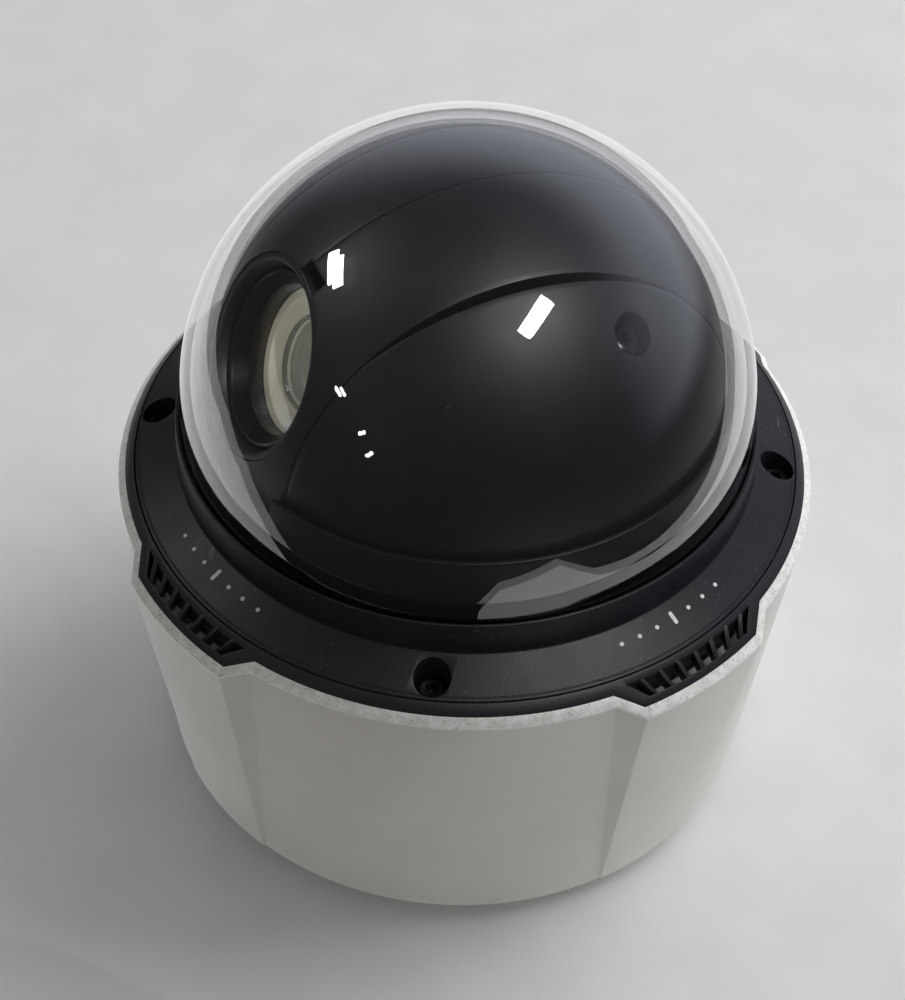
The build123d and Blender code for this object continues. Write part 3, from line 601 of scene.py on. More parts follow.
def carved(
    body: bpy.types.Object, cutters: list[bmesh.types.BMesh], edge: float, sharp_deg: float = 32.0
) -> None:
    """Cut shapes out of a body and soften what edges are left.

    Args:
        body: The body, whose mesh is replaced.
        cutters: Geometry to take away; it is freed.
        edge: Width of the softened edges, in millimetres.
        sharp_deg: Edges steeper than this are softened.
    """
    tools = []
    for k, cutter in enumerate(cutters):
        tool = mesh_object(f"cutter_{k}", cutter, STEEL)
        change = body.modifiers.new(f"cut_{k}", "BOOLEAN")
        change.operation = "DIFFERENCE"
        change.solver = "EXACT"
        change.object = tool
        tools.append(tool)
    if edge:
        round_off = body.modifiers.new("edges", "BEVEL")
        round_off.width = edge * MM
        round_off.segments = 2
        round_off.limit_method = "ANGLE"
        round_off.angle_limit = math.radians(sharp_deg)
    baked(body)
    finish = body.data.materials[0]
    body.data.materials.clear()
    body.data.materials.append(finish)
    body.data.polygons.foreach_set("material_index", [0] * len(body.data.polygons))
    shade(body, sharp_deg + 8)
    for tool in tools:
        bpy.data.objects.remove(tool)


def moved(body: bpy.types.Object, place: Matrix) -> bpy.types.Object:
    """Carry a body's mesh to its place, with the object left at the origin."""
    body.data.transform(place)
    return body


def set_round(cutter: bmesh.types.BMesh, turn_deg: float, x: float = 0.0) -> bmesh.types.BMesh:
    """Shift geometry out along X, then swing it about Z."""
    place = Matrix.Rotation(math.radians(turn_deg), 4, "Z") @ Matrix.Translation((x * MM, 0, 0))
    bmesh.ops.transform(cutter, matrix=place, verts=cutter.verts)
    return cutter


def merged(name: str, bodies: list[bpy.types.Object]) -> bpy.types.Object:
    """Join several bodies of one finish into one piece."""
    built = bmesh.new()
    for body in bodies:
        built.from_mesh(body.data)
    finish = bodies[0].data.materials[0]
    mesh = bpy.data.meshes.new(name)
    built.to_mesh(mesh)
    built.free()
    for body in bodies:
        bpy.data.objects.remove(body)
    made = bpy.data.objects.new(name, mesh)
    bpy.context.scene.collection.objects.link(made)
    mesh.materials.append(finish)
    return made


class ArcPattern:
    """Copies of a seed along an arc about Z, laid out by one Geometry Nodes tree."""

    def __init__(self) -> None:
        """Build the tree."""
        self.tree = bpy.data.node_groups.new("arc_pattern", "GeometryNodeTree")
        self.ids: dict[str, str] = {}
        self.tree.interface.new_socket("Geometry", in_out="OUTPUT", socket_type="NodeSocketGeometry")
        kinds = {"Seed": "Object", "Finish": "Material", "Count": "Int"}
        for label in ("Seed", "Finish", "Count", "Step", "First", "Radius", "Height", "Tilt", "Lean"):
            kind = "NodeSocket" + kinds.get(label, "Float")
            socket = self.tree.interface.new_socket(label, in_out="INPUT", socket_type=kind)
            self.ids[label] = socket.identifier
        graph = Graph(self.tree)
        given = graph.node("NodeGroupInput")
        w = {label: graph.wire(given, label) for label in self.ids}
        index = graph.wire(graph.node("GeometryNodeInputIndex"), "Index")
        rank = index - (w["Count"] - 1.0) * 0.5
        angle = w["First"] + rank * w["Step"]
        x = graph.maths("COSINE", angle) * w["Radius"]
        y = graph.maths("SINE", angle) * w["Radius"]
        spot = graph.wire(graph.node("ShaderNodeCombineXYZ", None, X=x, Y=y, Z=w["Height"]), "Vector")
        points = graph.node("GeometryNodePoints", None, Count=w["Count"], Position=spot)
        turn = angle + rank * w["Lean"]
        euler = graph.wire(graph.node("ShaderNodeCombineXYZ", None, X=0.0, Y=w["Tilt"], Z=turn), "Vector")
        turning = graph.node("FunctionNodeEulerToRotation", None, Euler=euler)
        seed = graph.node("GeometryNodeObjectInfo", None, Object=w["Seed"])
        copies = graph.node(
            "GeometryNodeInstanceOnPoints",
            None,
            Points=Wire(graph, points.outputs[0]),
            Instance=graph.wire(seed, "Geometry"),
            Rotation=Wire(graph, turning.outputs[0]),
        )
        real = graph.node("GeometryNodeRealizeInstances", None, Geometry=Wire(graph, copies.outputs[0]))
        dressed = graph.node(
            "GeometryNodeSetMaterial", None, Geometry=Wire(graph, real.outputs[0]), Material=w["Finish"]
        )
        out = graph.node("NodeGroupOutput")
        graph.feed(out.inputs[0], Wire(graph, dressed.outputs[0]))

    def lay(self, name: str, seed: bpy.types.Object, finish: Finish, **sizes: float) -> bpy.types.Object:
        """Copy a seed along an arc.

        Args:
            name: Name of the resulting piece.
            seed: What to copy; it is removed.
            finish: What the copies are dressed in.
            sizes: Count, Step, First, Radius, Height, Tilt and Lean; lengths in mm, angles in degrees.

        Returns:
            One plain mesh object.
        """
        made = bpy.data.objects.new(name, bpy.data.meshes.new(name))
        bpy.context.scene.collection.objects.link(made)
        change = made.modifiers.new("arc", "NODES")
        change.node_group = self.tree
        change[self.ids["Seed"]] = seed
        change[self.ids["Finish"]] = finish.material()
        for label, value in sizes.items():
            if label == "Count":
                change[self.ids[label]] = int(value)
            elif label in ("Radius", "Height"):
                change[self.ids[label]] = float(value) * MM
            else:
                change[self.ids[label]] = math.radians(value)
        baked(made)
        shade(made, 32.0)
        bpy.data.objects.remove(seed)
        return made


def lobed(radius: float, bite: float, points: int = 72) -> Profile:
    """Outline of a six-lobed driver recess."""
    made: Profile = []
    for k in range(points):
        angle = 2 * math.pi * k / points
        r = radius - bite * (0.5 - 0.5 * math.cos(6 * angle))
        made.append((r * math.cos(angle), r * math.sin(angle)))
    return made


@dataclass
class Fastener:
    """A round-headed screw with a six-lobed recess and its head's underside at the origin."""

    head_r: float
    head_h: float
    shank_r: float
    length: float

    def seed(self, finish: Finish) -> bpy.types.Object:
        """The screw as a seed for a pattern."""
        outline = [
            (0.0, self.head_h),
            (self.head_r * 0.72, self.head_h),
            (self.head_r * 0.95, self.head_h * 0.72),
            (self.head_r, self.head_h * 0.4),
            (self.head_r, 0.0),
            (self.shank_r, 0.0),
            (self.shank_r, -self.length),
            (0.0, -self.length),
        ]
        body = mesh_object("screw_seed", turned(outline, 40), finish)
        recess = prism(lobed(self.head_r * 0.46, self.head_r * 0.11), self.head_h * 0.35, self.head_h + 1)
        carved(body, [recess], 0.12)
        return body


def keep(piece: bpy.types.Object, body: str, slot: str, *nodes: str) -> None:
    """Let a piece ride on a body and stand for CAD nodes."""
    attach(piece, body)
    if nodes:
        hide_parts(*nodes)
    LOG.info("piece %s rides on %s, %d faces", piece.name, body, len(piece.data.polygons))


# Housing
@dataclass
class Housing:
    """The painted coned housing with its four vent swellings, floor and deck."""

    foot_z: float = 6.0
    foot_r: float = 81.3
    rim_r: float = 89.5
    wing_r: float = 93.2
    foot_step: float = 0.4
    foot_corner: float = 11.3
    top_corner: float = 11.7
    lean: tuple[float, float] = (-4.9, 5.4)
    bevel_in_r: float = 85.3
    bevel_top: float = 96.4
    slope: float = 0.98
    seat_deep: float = 3.6
    wall: float = 2.6
    floor_top: float = 10.0
    tray_r: float = 35.1
    mount_ring: float = 53.0
    screw_ring: float = 62.0

    def bevel(self, radius: float) -> float:
        """Height of the shared bevel at a radius."""
        return self.bevel_top - self.slope * (radius - self.bevel_in_r)

    def outline(self, wall_r: float, wing_r: float, corner_deg: float) -> list[tuple[float, float]]:
        """One level outline: plain wall with four raised arcs.

        Args:
            wall_r: Radius between the raised arcs.
            wing_r: Radius of the raised arcs.
            corner_deg: Half width of a raised arc.

        Returns:
            Points anticlockwise, the same number for any sizes.
        """
        c = math.radians(corner_deg)
        corner = Vector((wing_r * math.cos(c), wing_r * math.sin(c)))
        way = Vector(self.lean)
        low, high = 0.0, 1.4
        if wing_r - wall_r < 0.02:
            joint = math.radians(corner_deg + 4.0)
        else:
            for _ in range(40):
                mid = (low + high) / 2
                low, high = (mid, high) if (corner + way * mid).length > wall_r else (low, mid)
            spot = corner + way * low
            joint = math.atan2(spot.y, spot.x)
        half: list[tuple[float, float]] = []
        for k in range(12):
            half.append((wing_r, c * k / 12))
        for k in range(5):
            t = k / 5
            if wing_r - wall_r < 0.02:
                half.append((wall_r, c + (joint - c) * t))
            else:
                p = corner + way * low * t
                half.append((p.length, math.atan2(p.y, p.x)))
        for k in range(20):
            half.append((wall_r, joint + (math.pi / 4 - joint) * k / 20))
        one = [(r, -a) for r, a in reversed(half[1:])] + half
        points = []
        for quarter in range(4):
            turn = math.radians(45 + 90 * quarter)
            points.append((wall_r * math.cos(turn - math.pi / 4), wall_r * math.sin(turn - math.pi / 4)))
            points += [(r * math.cos(turn + a), r * math.sin(turn + a)) for r, a in one]
        return points

    def on_bevel(self, wall_r: float, wing_r: float, corner_deg: float, drop: float = 0.0) -> list[Point]:
        """An outline laid on the bevel, or a set depth under it."""
        flat = self.outline(wall_r, wing_r, corner_deg)
        return [(x, y, self.bevel(math.hypot(x, y)) - drop) for x, y in flat]

    def level(self, radius: float, z: float) -> list[Point]:
        """A plain circle with the outline's number of points."""
        return [(x, y, z) for x, y in self.outline(radius, radius, self.top_corner)]

    def shell(self) -> bpy.types.Object:
        """Wall, rim, vent seats, floor and deck in one mesh."""
        top = self.on_bevel(self.rim_r, self.wing_r, self.top_corner)
        rows = []
        steps = [0.0, 0.004, 0.03] + [k / 14 for k in range(1, 14)] + [0.985, 1.0]
        for s in steps:
            wall_r = self.foot_r + (self.rim_r - self.foot_r) * s
            wing_r = self.foot_r + self.foot_step + (self.wing_r - self.foot_r - self.foot_step) * s
            corner = self.foot_corner + (self.top_corner - self.foot_corner) * s
            flat = self.outline(wall_r, wing_r, corner)
            inset = 1.0 - (0.005 if s == 0.0 else 0.0)
            heights = [self.foot_z + s * (point[2] - self.foot_z) for point in top]
            rows.append([(x * inset, y * inset, z) for (x, y), z in zip(flat, heights)])
        rows.append(self.on_bevel(88.5, 92.2, 11.6))
        rows.append(self.on_bevel(87.62, 91.32, 11.55))
        rows.append(self.on_bevel(87.60, 91.30, 11.55, 0.25))
        rows.append(self.on_bevel(87.60, 91.30, 11.55, self.seat_deep))
        rows.append(self.level(86.6, 88.5))
        rows.append(self.level(86.0, 84.0))
        rows.append(self.level(self.foot_r - self.wall + 0.4, self.floor_top))
        rows.append(self.level(self.tray_r, self.floor_top))
        rows.append(self.level(self.tray_r, self.foot_z))
        built = loft(rows)
        deck = [(70.5, 85.5), (86.6, 85.5), (86.6, 88.5), (75.0, 88.5), (75.0, 90.0), (70.5, 90.0)]
        turned(deck, 96, built)
        return mesh_object("housing", built, PAINT, 24.0)

    def blacken(self, shell: bpy.types.Object) -> None:
        """Dress the vent seats and the inward faces deep under the bevel in near-black."""
        shell.data.materials.append(SEAT_BLACK.material())
        for face in shell.data.polygons:
            x, y, z = face.center / MM
            radius = math.hypot(x, y)
            outward = (face.normal.x * x + face.normal.y * y) / max(radius, 1e-6)
            deep = self.bevel(radius) - z > 0.3
            # Inward faces more than 0.3 mm under the bevel go near-black.
            if deep and z > self.foot_z + 1 and outward < 0.3 and radius > 1:
                face.material_index = 1

    def build(self, pattern: ArcPattern) -> None:
        """Make the housing and its base screws."""
        shell = self.shell()
        cuts = []
        for k in range(4):
            for radius, x, first in ((2.75, self.mount_ring, 45), (2.1, self.screw_ring, 0)):
                cutter = turned([(0.0, -1.0), (radius, -1.0), (radius, 12.0), (0.0, 12.0)], 32)
                cuts.append(set_round(cutter, first + 90 * k, x))
        carved(shell, cuts, 0.35, 24.0)
        self.blacken(shell)
        keep(shell, "housing", "housing_paint", "housing_shell", "housing_floor")
        low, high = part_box("base_screws")
        head_h = 3.0
        seed = Fastener(3.9, head_h, 2.0, (high[2] - low[2]) / MM - head_h).seed(STEEL)
        moved(seed, Matrix.Rotation(math.pi, 4, "X"))
        height = low[2] / MM + head_h
        screws = pattern.lay(
            "base_screw_set", seed, STEEL, Count=4, Step=90, First=45, Radius=self.screw_ring, Height=height
        )
        keep(screws, "housing", "screw_steel", "base_screws")


@dataclass
class TrimRing:
    """The black bevelled trim with four slotted vents."""

    housing: Housing
    in_r: float = 85.3
    out_r: float = 87.5
    wing_r: float = 91.2
    corner: float = 11.5
    thick: float = 3.4
    slot_in: float = 86.6
    slot_out: float = 89.9
    rib_w: float = 1.2
    rib_lean: float = -14.2
    pitch: float = 5.0

    def opening(self) -> bmesh.types.BMesh:
        """Space of one vent's slots, pointed at both ends."""
        half_in, half_out = 13.4, 10.2
        plan: Profile = []
        for k in range(13):
            a = math.radians(-half_out + 2 * half_out * k / 12)
            plan.append((self.slot_out * math.cos(a), self.slot_out * math.sin(a)))
        for k in range(13):
            a = math.radians(half_in - 2 * half_in * k / 12)
            plan.append((self.slot_in * math.cos(a), self.slot_in * math.sin(a)))
        return prism(plan, 80.0, 98.0)

    def build(self, pattern: ArcPattern) -> None:
        """Make the ring and set ribs in its vents."""
        frame = self.housing
        rows = [
            [(x, y, frame.bevel(self.in_r)) for x, y in frame.outline(self.in_r, self.in_r, self.corner)],
            frame.on_bevel(self.out_r - 0.7, self.wing_r - 1.0, self.corner),
            frame.on_bevel(self.out_r, self.wing_r, self.corner, 0.05),
            frame.on_bevel(self.out_r, self.wing_r, self.corner, self.thick),
            [(x, y, 92.0) for x, y in frame.outline(86.2, 86.2, self.corner)],
            [(x, y, 88.5) for x, y in frame.outline(86.2, 86.2, self.corner)],
            [(x, y, 88.5) for x, y in frame.outline(self.in_r, self.in_r, self.corner)],
        ]
        ring = mesh_object("trim", loft(rows), TRIM, 28.0)
        carved(ring, [set_round(self.opening(), 45 + 90 * k) for k in range(4)], 0.18, 28.0)
        mid = (self.slot_in + self.slot_out) / 2
        tilt = math.degrees(math.atan(frame.slope))
        seed = mesh_object("rib", block((-3.1, -self.rib_w / 2, -2.6), (3.1, self.rib_w / 2, -0.08)), TRIM)
        carved(seed, [], 0.14)
        step = math.degrees(self.pitch / mid)
        sizes = {"Step": step, "Radius": mid, "Height": frame.bevel(mid), "Tilt": tilt, "Lean": self.rib_lean}
        one = pattern.lay("vent_ribs", seed, TRIM, Count=7, **sizes)
        ribs = pattern.lay("vent_rib_set", one, TRIM, Count=4, Step=90)
        whole = merged("trim_ring_vents", [ring, ribs])
        keep(whole, "housing", "black_trim", "trim_ring")


# Dome
@dataclass
class DomeRing:
    """The black ring with its collar, four counterbored screws and printed marks."""

    face_z: float = 96.5
    face_r: float = 85.0
    in_r: float = 74.3
    rise: float = 4.9
    collar_in: float = 72.9
    collar_top: float = 110.5
    screw_r: float = 80.0
    bore_r: float = 4.5
    bore_floor: float = 5.0
    mark_r: float = 78.3
    mark_step: float = 3.743

    def face_at(self, radius: float) -> float:
        """Height of the sloping face at a radius."""
        return self.face_z + (self.face_r - radius) * self.rise / (self.face_r - self.in_r)

    def ring(self) -> bpy.types.Object:
        """The ring and its counterbores."""
        outline = [
            (self.collar_in, self.collar_top),
            (self.collar_in + 0.95, self.collar_top),
            (self.in_r, self.face_at(self.in_r)),
            (self.face_r - 1.15, self.face_at(self.face_r - 1.15)),
            (self.face_r - 0.95, self.face_at(self.face_r - 0.95) - 0.12),
            (self.face_r - 0.75, self.face_at(self.face_r - 0.75)),
            (self.face_r, self.face_z),
            (self.face_r, 88.5),
            (74.9, 88.5),
            (74.9, 94.5),
            (self.collar_in, 94.5),
        ]
        body = mesh_object("ring", turned(softened(outline, 0.35), 256), RING, 40.0)
        cuts = []
        for k in range(4):
            floor = self.face_z - self.bore_floor
            plan = [(0.0, 80.0), (2.1, 80.0), (2.1, floor)]
            plan += [(self.bore_r, floor), (self.bore_r, 110.0), (0.0, 110.0)]
            cuts.append(set_round(turned(plan, 56), 90 * k, self.screw_r))
        carved(body, cuts, 0.25, 50.0)
        return body

    def marks(self, pattern: ArcPattern) -> bpy.types.Object:
        """White dots and one dash over each vent."""
        tilt = math.degrees(math.atan(self.rise / (self.face_r - self.in_r)))
        height = self.face_at(self.mark_r)
        lens = [(0.0, 0.045), (0.46, 0.035), (0.55, 0.0), (0.55, -0.1), (0.0, -0.1)]
        sets = []
        place = {"Radius": self.mark_r, "Height": height, "Tilt": tilt}
        for side in (-1, 1):
            dot = mesh_object("dot", turned(lens, 24), PRINT)
            first = side * 2 * self.mark_step
            sets.append(pattern.lay("dots", dot, PRINT, Count=3, Step=self.mark_step, First=first, **place))
        plan: Profile = []
        for k in range(24):
            a = 2 * math.pi * k / 24
            plan.append((0.52 * math.cos(a) + math.copysign(1.2, math.cos(a)), 0.52 * math.sin(a)))
        dash = mesh_object("dash", prism(plan, -0.1, 0.045), PRINT)
        sets.append(pattern.lay("dash_mark", dash, PRINT, Count=1, **place))
        return pattern.lay("vent_marks", merged("mark_seed", sets), PRINT, Count=4, Step=90)

    def build(self, pattern: ArcPattern) -> None:
        """Make the ring, its screws and its marks."""
        keep(self.ring(), "housing", "black_trim", "dome_ring")
        seed = Fastener(3.9, 3.0, 2.0, 13.0).seed(DARK_STEEL)
        height = self.face_z - self.bore_floor
        screws = pattern.lay(
            "ring_screw_set", seed, DARK_STEEL, Count=4, Step=90, First=45, Radius=self.screw_r, Height=height
        )
        keep(screws, "housing", "dark_screw", "dome_screws")
        keep(self.marks(pattern), "housing", "housing_paint")


@dataclass
class Bubble:
    """The clear dome: half a sphere on a short cylinder with a clamped flange."""

    radius: float = 72.6
    wall: float = 2.4
    centre: float = 114.7
    flange_r: float = 74.6
    flange_top: float = 94.5
    flange_t: float = 2.4

    def build(self) -> None:
        """Make the dome as one closed wall."""
        outer = arc_points(self.radius, 90, 0, 72, self.centre)
        inner = arc_points(self.radius - self.wall, 0, 90, 72, self.centre)
        foot = self.flange_top - self.flange_t
        skirt = [
            (self.radius, self.flange_top),
            (self.flange_r, self.flange_top),
            (self.flange_r, foot),
            (self.radius - self.wall, foot),
        ]
        dome = mesh_object("bubble", turned(outer + skirt + inner, 224), BUBBLE)
        keep(dome, "housing", "clear_dome", "dome_bubble")


# Ball and lens
@dataclass
class HeadFrame:
    """Where the ball sits and which way the lens looks."""

    height: float = 117.8
    bearing: float = 207.0
    lift: float = 26.0

    def pan(self) -> Matrix:
        """Lens bearing, at the ball's centre."""
        turn = Matrix.Rotation(math.radians(self.bearing), 4, "Z")
        return turn @ Matrix.Translation((0, 0, self.height * MM))

    def tilt(self) -> Matrix:
        """Lens direction along +X, at the ball's centre."""
        return self.pan() @ Matrix.Rotation(math.radians(-self.lift), 4, "Y")


TO_X = Matrix.Rotation(math.pi / 2, 4, "Y")
TO_Y = Matrix.Rotation(-math.pi / 2, 4, "X")


@dataclass
class Ball:
    """The black ball: a tilting band in two halves between two fixed cheeks."""

    frame: HeadFrame
    radius: float = 64.8
    wall: float = 2.0
    band: float = 28.9
    seam: float = 0.15
    cheek: float = 29.2
    wedge: float = 2.1
    wedge_foot: float = 0.76  # share of the cheek's height where the gap begins
    cheek_foot: float = -44.0
    hood_r: float = 25.1
    recess_r: float = 5.25
    recess_deep: float = 5.0
    recess_way: Point = field(default=(-0.36, 0.63, 0.69))

    def band_half(self, side: int) -> bpy.types.Object:
        """One half of the tilting band."""
        start = math.degrees(math.asin(self.seam / self.radius))
        end = math.degrees(math.asin(self.band / self.radius))
        r_in = self.radius - self.wall
        outer = arc_points(self.radius, start, end, 22)
        web = [(4.02, self.band), (4.02, self.band - 2.5)]
        back = math.degrees(math.asin((self.band - 2.5) / r_in))
        inner = arc_points(r_in, back, math.degrees(math.asin(self.seam / r_in)), 14)
        body = mesh_object("band", turned(outer + web + inner, 240), LACQUER, 30.0)
        moved(body, TO_Y)
        bore = turned([(0.0, 30.0), (self.hood_r, 30.0), (self.hood_r, 80.0), (0.0, 80.0)], 120)
        bmesh.ops.transform(bore, matrix=TO_X, verts=bore.verts)
        notch = block((48.0, -1.5, 23.0), (62.0, 7.5, 28.5))
        if side < 0:
            body.data.transform(Matrix.Scale(-1, 4, (0, 1, 0)))
            body.data.flip_normals()
        carved(body, [bore, notch], 0.3, 30.0)
        return moved(body, self.frame.tilt())

    def recess_frame(self, side: int) -> Matrix:
        """A frame whose +Z runs out through a cheek's recess."""
        way = Vector((self.recess_way[0], side * self.recess_way[1], self.recess_way[2])).normalized()
        turn = way.to_track_quat("Z", "Y").to_matrix().to_4x4()
        return Matrix.Translation(way * self.radius * MM) @ turn

    def cheek_piece(self, side: int) -> bpy.types.Object:
        """One fixed cheek with its wedge-shaped gap and screw recess."""
        start = math.degrees(math.asin(self.cheek / self.radius))
        r_in = self.radius - self.wall
        inner_start = math.degrees(math.asin(self.cheek / r_in))
        outline = arc_points(self.radius, start, 90, 40) + arc_points(r_in, 90, inner_start, 30)
        body = mesh_object("cheek", turned(outline, 240), LACQUER, 30.0)
        moved(body, TO_Y)
        rise = math.sqrt(self.radius**2 - self.cheek**2)
        gap = [
            (self.cheek - 2, self.wedge_foot * rise),
            (self.cheek, self.wedge_foot * rise),
            (self.cheek + self.wedge, rise),
            (self.cheek + self.wedge, 75.0),
            (self.cheek - 2, 75.0),
        ]
        wedge = prism(gap, -80.0, 80.0)
        lie_down = Matrix(((0, 0, 1, 0), (1, 0, 0, 0), (0, 1, 0, 0), (0, 0, 0, 1)))
        bmesh.ops.transform(wedge, matrix=lie_down, verts=wedge.verts)
        foot = block((-80, 0, -80), (80, 80, self.cheek_foot))
        hole = turned([(0.0, -9.0), (self.recess_r, -9.0), (self.recess_r, 8.0), (0.0, 8.0)], 64)
        bmesh.ops.transform(hole, matrix=self.recess_frame(1), verts=hole.verts)
        carved(body, [wedge, foot, hole], 0.12, 30.0)
        r, deep = self.recess_r, self.recess_deep
        cup = [(0, -deep), (r, -deep), (r, -0.6), (r + 1.4, -0.9), (r + 1.4, -deep - 2.5), (0, -deep - 2.5)]
        well = mesh_object("well", turned(cup, 64), LACQUER)
        moved(well, self.recess_frame(1))
        whole = merged("cheek_part", [body, well])
        if side < 0:
            whole.data.transform(Matrix.Scale(-1, 4, (0, 1, 0)))
            whole.data.flip_normals()
        return moved(whole, self.frame.pan())

    def build(self) -> None:
        """Make both halves, both cheeks and the cheek screws."""
        for side, label in ((1, "near"), (-1, "far")):
            half = self.band_half(side)
            half.name = f"ball_half_{label}"
            keep(half, "tilt_head", "ball_black", f"ball_shell_{label}")
            cheek = self.cheek_piece(side)
            cheek.name = f"ball_cheek_{label}"
            keep(cheek, "pan_head", "ball_black", f"side_cover_{label}")
        heads = []
        for side in (1, -1):
            head = Fastener(3.0, 1.6, 1.5, 6.0).seed(DARK_STEEL)
            floor = Matrix.Translation((0, 0, -self.recess_deep * MM))
            heads.append(moved(head, self.frame.pan() @ self.recess_frame(side) @ floor))
        keep(merged("cheek_screws", heads), "pan_head", "dark_screw", "cover_screws")


@dataclass
class Shroud:
    """The skirt round the ball with its window towards the lens."""

    frame: HeadFrame
    radius: float = 66.7
    wall: float = 1.3
    foot: float = 49.0
    top: float = 123.9
    window_half: float = 27.0
    window_foot: float = 78.0

    def build(self) -> None:
        """Make the skirt."""
        inner = self.radius - self.wall
        rows = [(inner, self.foot), (self.radius, self.foot), (self.radius, self.top - 0.6)]
        rows += [(self.radius - 0.2, self.top - 0.15), (self.radius - 0.65, self.top)]
        rows += [(inner, self.top - 0.1)]
        body = mesh_object("skirt", turned(rows, 240), SHROUD, 40.0)
        window = block((30, -self.window_half, self.window_foot), (80, self.window_half, self.top + 2))
        carved(body, [window], 0.25, 40.0)
        moved(body, Matrix.Rotation(math.radians(self.frame.bearing), 4, "Z"))
        body.name = "shroud_skirt"
        keep(body, "pan_head", "ball_black", "pan_shroud")


@dataclass
class Lens:
    """Hood, barrel with inner ridges, front glass and the glass behind it."""

    frame: HeadFrame
    hood_r: float = 25.0
    hood_in: float = 22.0
    hood_back: float = 46.0
    barrel_r: float = 21.4
    barrel_front: float = 57.0
    barrel_back: float = 8.0
    bore_r: float = 16.0
    glass_r: float = 18.2
    glass_edge: float = 51.6
    glass_t: float = 3.0
    backing: float = 0.3
    bulge: float = 2.6
    ball_r: float = 64.8
    dish_r: float = 15.7
    dish_low: float = 43.6
    dish_rise: float = 4.2
    dish_rim: float = 18.0
    inner_r: float = 10.6
    inner_back: float = 45.6
    inner_bulge: float = 2.4

    def set_in(self, body: bpy.types.Object) -> bpy.types.Object:
        """Lay a piece turned about Z along the lens."""
        return moved(body, self.frame.tilt() @ TO_X)

    def hood(self) -> bpy.types.Object:
        """The rounded boss round the barrel."""
        front = math.sqrt(self.ball_r**2 - self.hood_r**2) - 0.4
        outline = [
            (self.hood_in, self.hood_back),
            (self.hood_r, self.hood_back),
            (self.hood_r, front),
            (self.hood_in + 1.2, front + 0.2),
            (self.hood_in, front - 2.5),
        ]
        return self.set_in(mesh_object("lens_boss", turned(softened(outline, 0.6), 160), LACQUER, 40.0))

    def barrel(self) -> bpy.types.Object:
        """Front rim, stepped cone with fine ridges and open bore."""
        rim = self.barrel_front
        outline: Profile = [
            (self.bore_r, self.barrel_back),
            (self.barrel_r, self.barrel_back),
            (self.barrel_r, rim - 0.4),
            (self.barrel_r - 0.15, rim - 0.1),
            (self.barrel_r - 0.4, rim),
            (self.barrel_r - 0.9, rim),
            (self.barrel_r - 1.05, rim - 0.15),
        ]
        steps = 6
        foot = self.glass_edge + 1.2
        for k in range(steps):
            share = (k + 1) / steps
            r = self.barrel_r - 1.05 + (self.glass_r + 0.1 - self.barrel_r + 1.05) * share
            z = rim - 0.3 + (foot - rim + 0.3) * share
            outline += [(r + 0.12, z + 0.25), (r, z)]
        outline += [
            (self.glass_r + 0.1, self.glass_edge - self.glass_t),
            (self.bore_r, self.glass_edge - self.glass_t),
        ]
        return self.set_in(mesh_object("lens_tube", turned(outline, 160), RIM_BLACK, 25.0))

    def front_glass(self) -> bpy.types.Object:
        """The convex front element."""
        ball = (self.glass_r**2 + self.bulge**2) / (2 * self.bulge)
        start = math.degrees(math.asin(1 - self.bulge / ball))
        dome = arc_points(ball, 90, start, 24, self.glass_edge + self.bulge - ball)
        back = self.glass_edge - self.glass_t + self.backing
        outline = dome + [(self.glass_r, back), (0.0, back)]
        return self.set_in(mesh_object("front_glass", turned(outline, 128), LENS_GLASS, 30.0))

    def depth(self) -> bpy.types.Object:
        """A dished element behind the front glass, dressed in a painted glow though it is no lamp."""
        rows: Profile = []
        for k in range(16):
            r = self.dish_r * k / 15
            rows.append((r, self.dish_low + self.dish_rise * (k / 15) ** 2))
        seat = self.glass_edge - self.glass_t
        rows += [(self.dish_r + 0.2, seat + 0.15), (self.dish_rim, seat + 0.15), (self.dish_rim, seat + 0.03)]
        edge = self.bore_r - 0.05
        rows += [(edge, seat + 0.03), (edge, seat - 2.0), (0.0, self.dish_low - 1.2)]
        return self.set_in(mesh_object("lens_dish", turned(rows, 128), LENS_PAINTED_GLOW, 30.0))

    def inner_glass(self) -> bpy.types.Object:
        """A strongly curved element between the front glass and the dish."""
        ball = (self.inner_r**2 + self.inner_bulge**2) / (2 * self.inner_bulge)
        start = math.degrees(math.asin(1 - self.inner_bulge / ball))
        dome = arc_points(ball, 90, start, 24, self.inner_back + 0.1 + self.inner_bulge - ball)
        rows = dome + [(self.inner_r, self.inner_back), (0.0, self.inner_back)]
        return self.set_in(mesh_object("inner_glass", turned(rows, 128), INNER_GLASS, 30.0))

    def inner_rim(self) -> bpy.types.Object:
        """The bright bevel round the inner element."""
        r, z = self.inner_r, self.inner_back
        rows = [(r + 0.1, z + 0.6), (r + 1.4, z + 0.6), (r + 1.4, z + 1.0)]
        rows += [(r + 1.0, z + 1.7), (r + 0.2, z + 2.1)]
        return self.set_in(mesh_object("inner_rim", turned(rows, 128), TIN, 30.0))

    def build(self) -> None:
        """Make the lens pieces."""
        keep(self.hood(), "tilt_head", "lens_black", "lens_hood")
        keep(self.barrel(), "tilt_head", "lens_black", "lens_barrel")
        keep(self.front_glass(), "tilt_head", "lens_glass", "front_lens")
        keep(self.inner_glass(), "tilt_head", "inner_glass")
        keep(self.depth(), "tilt_head", "inner_glass")
        keep(self.inner_rim(), "tilt_head", "lens_black")


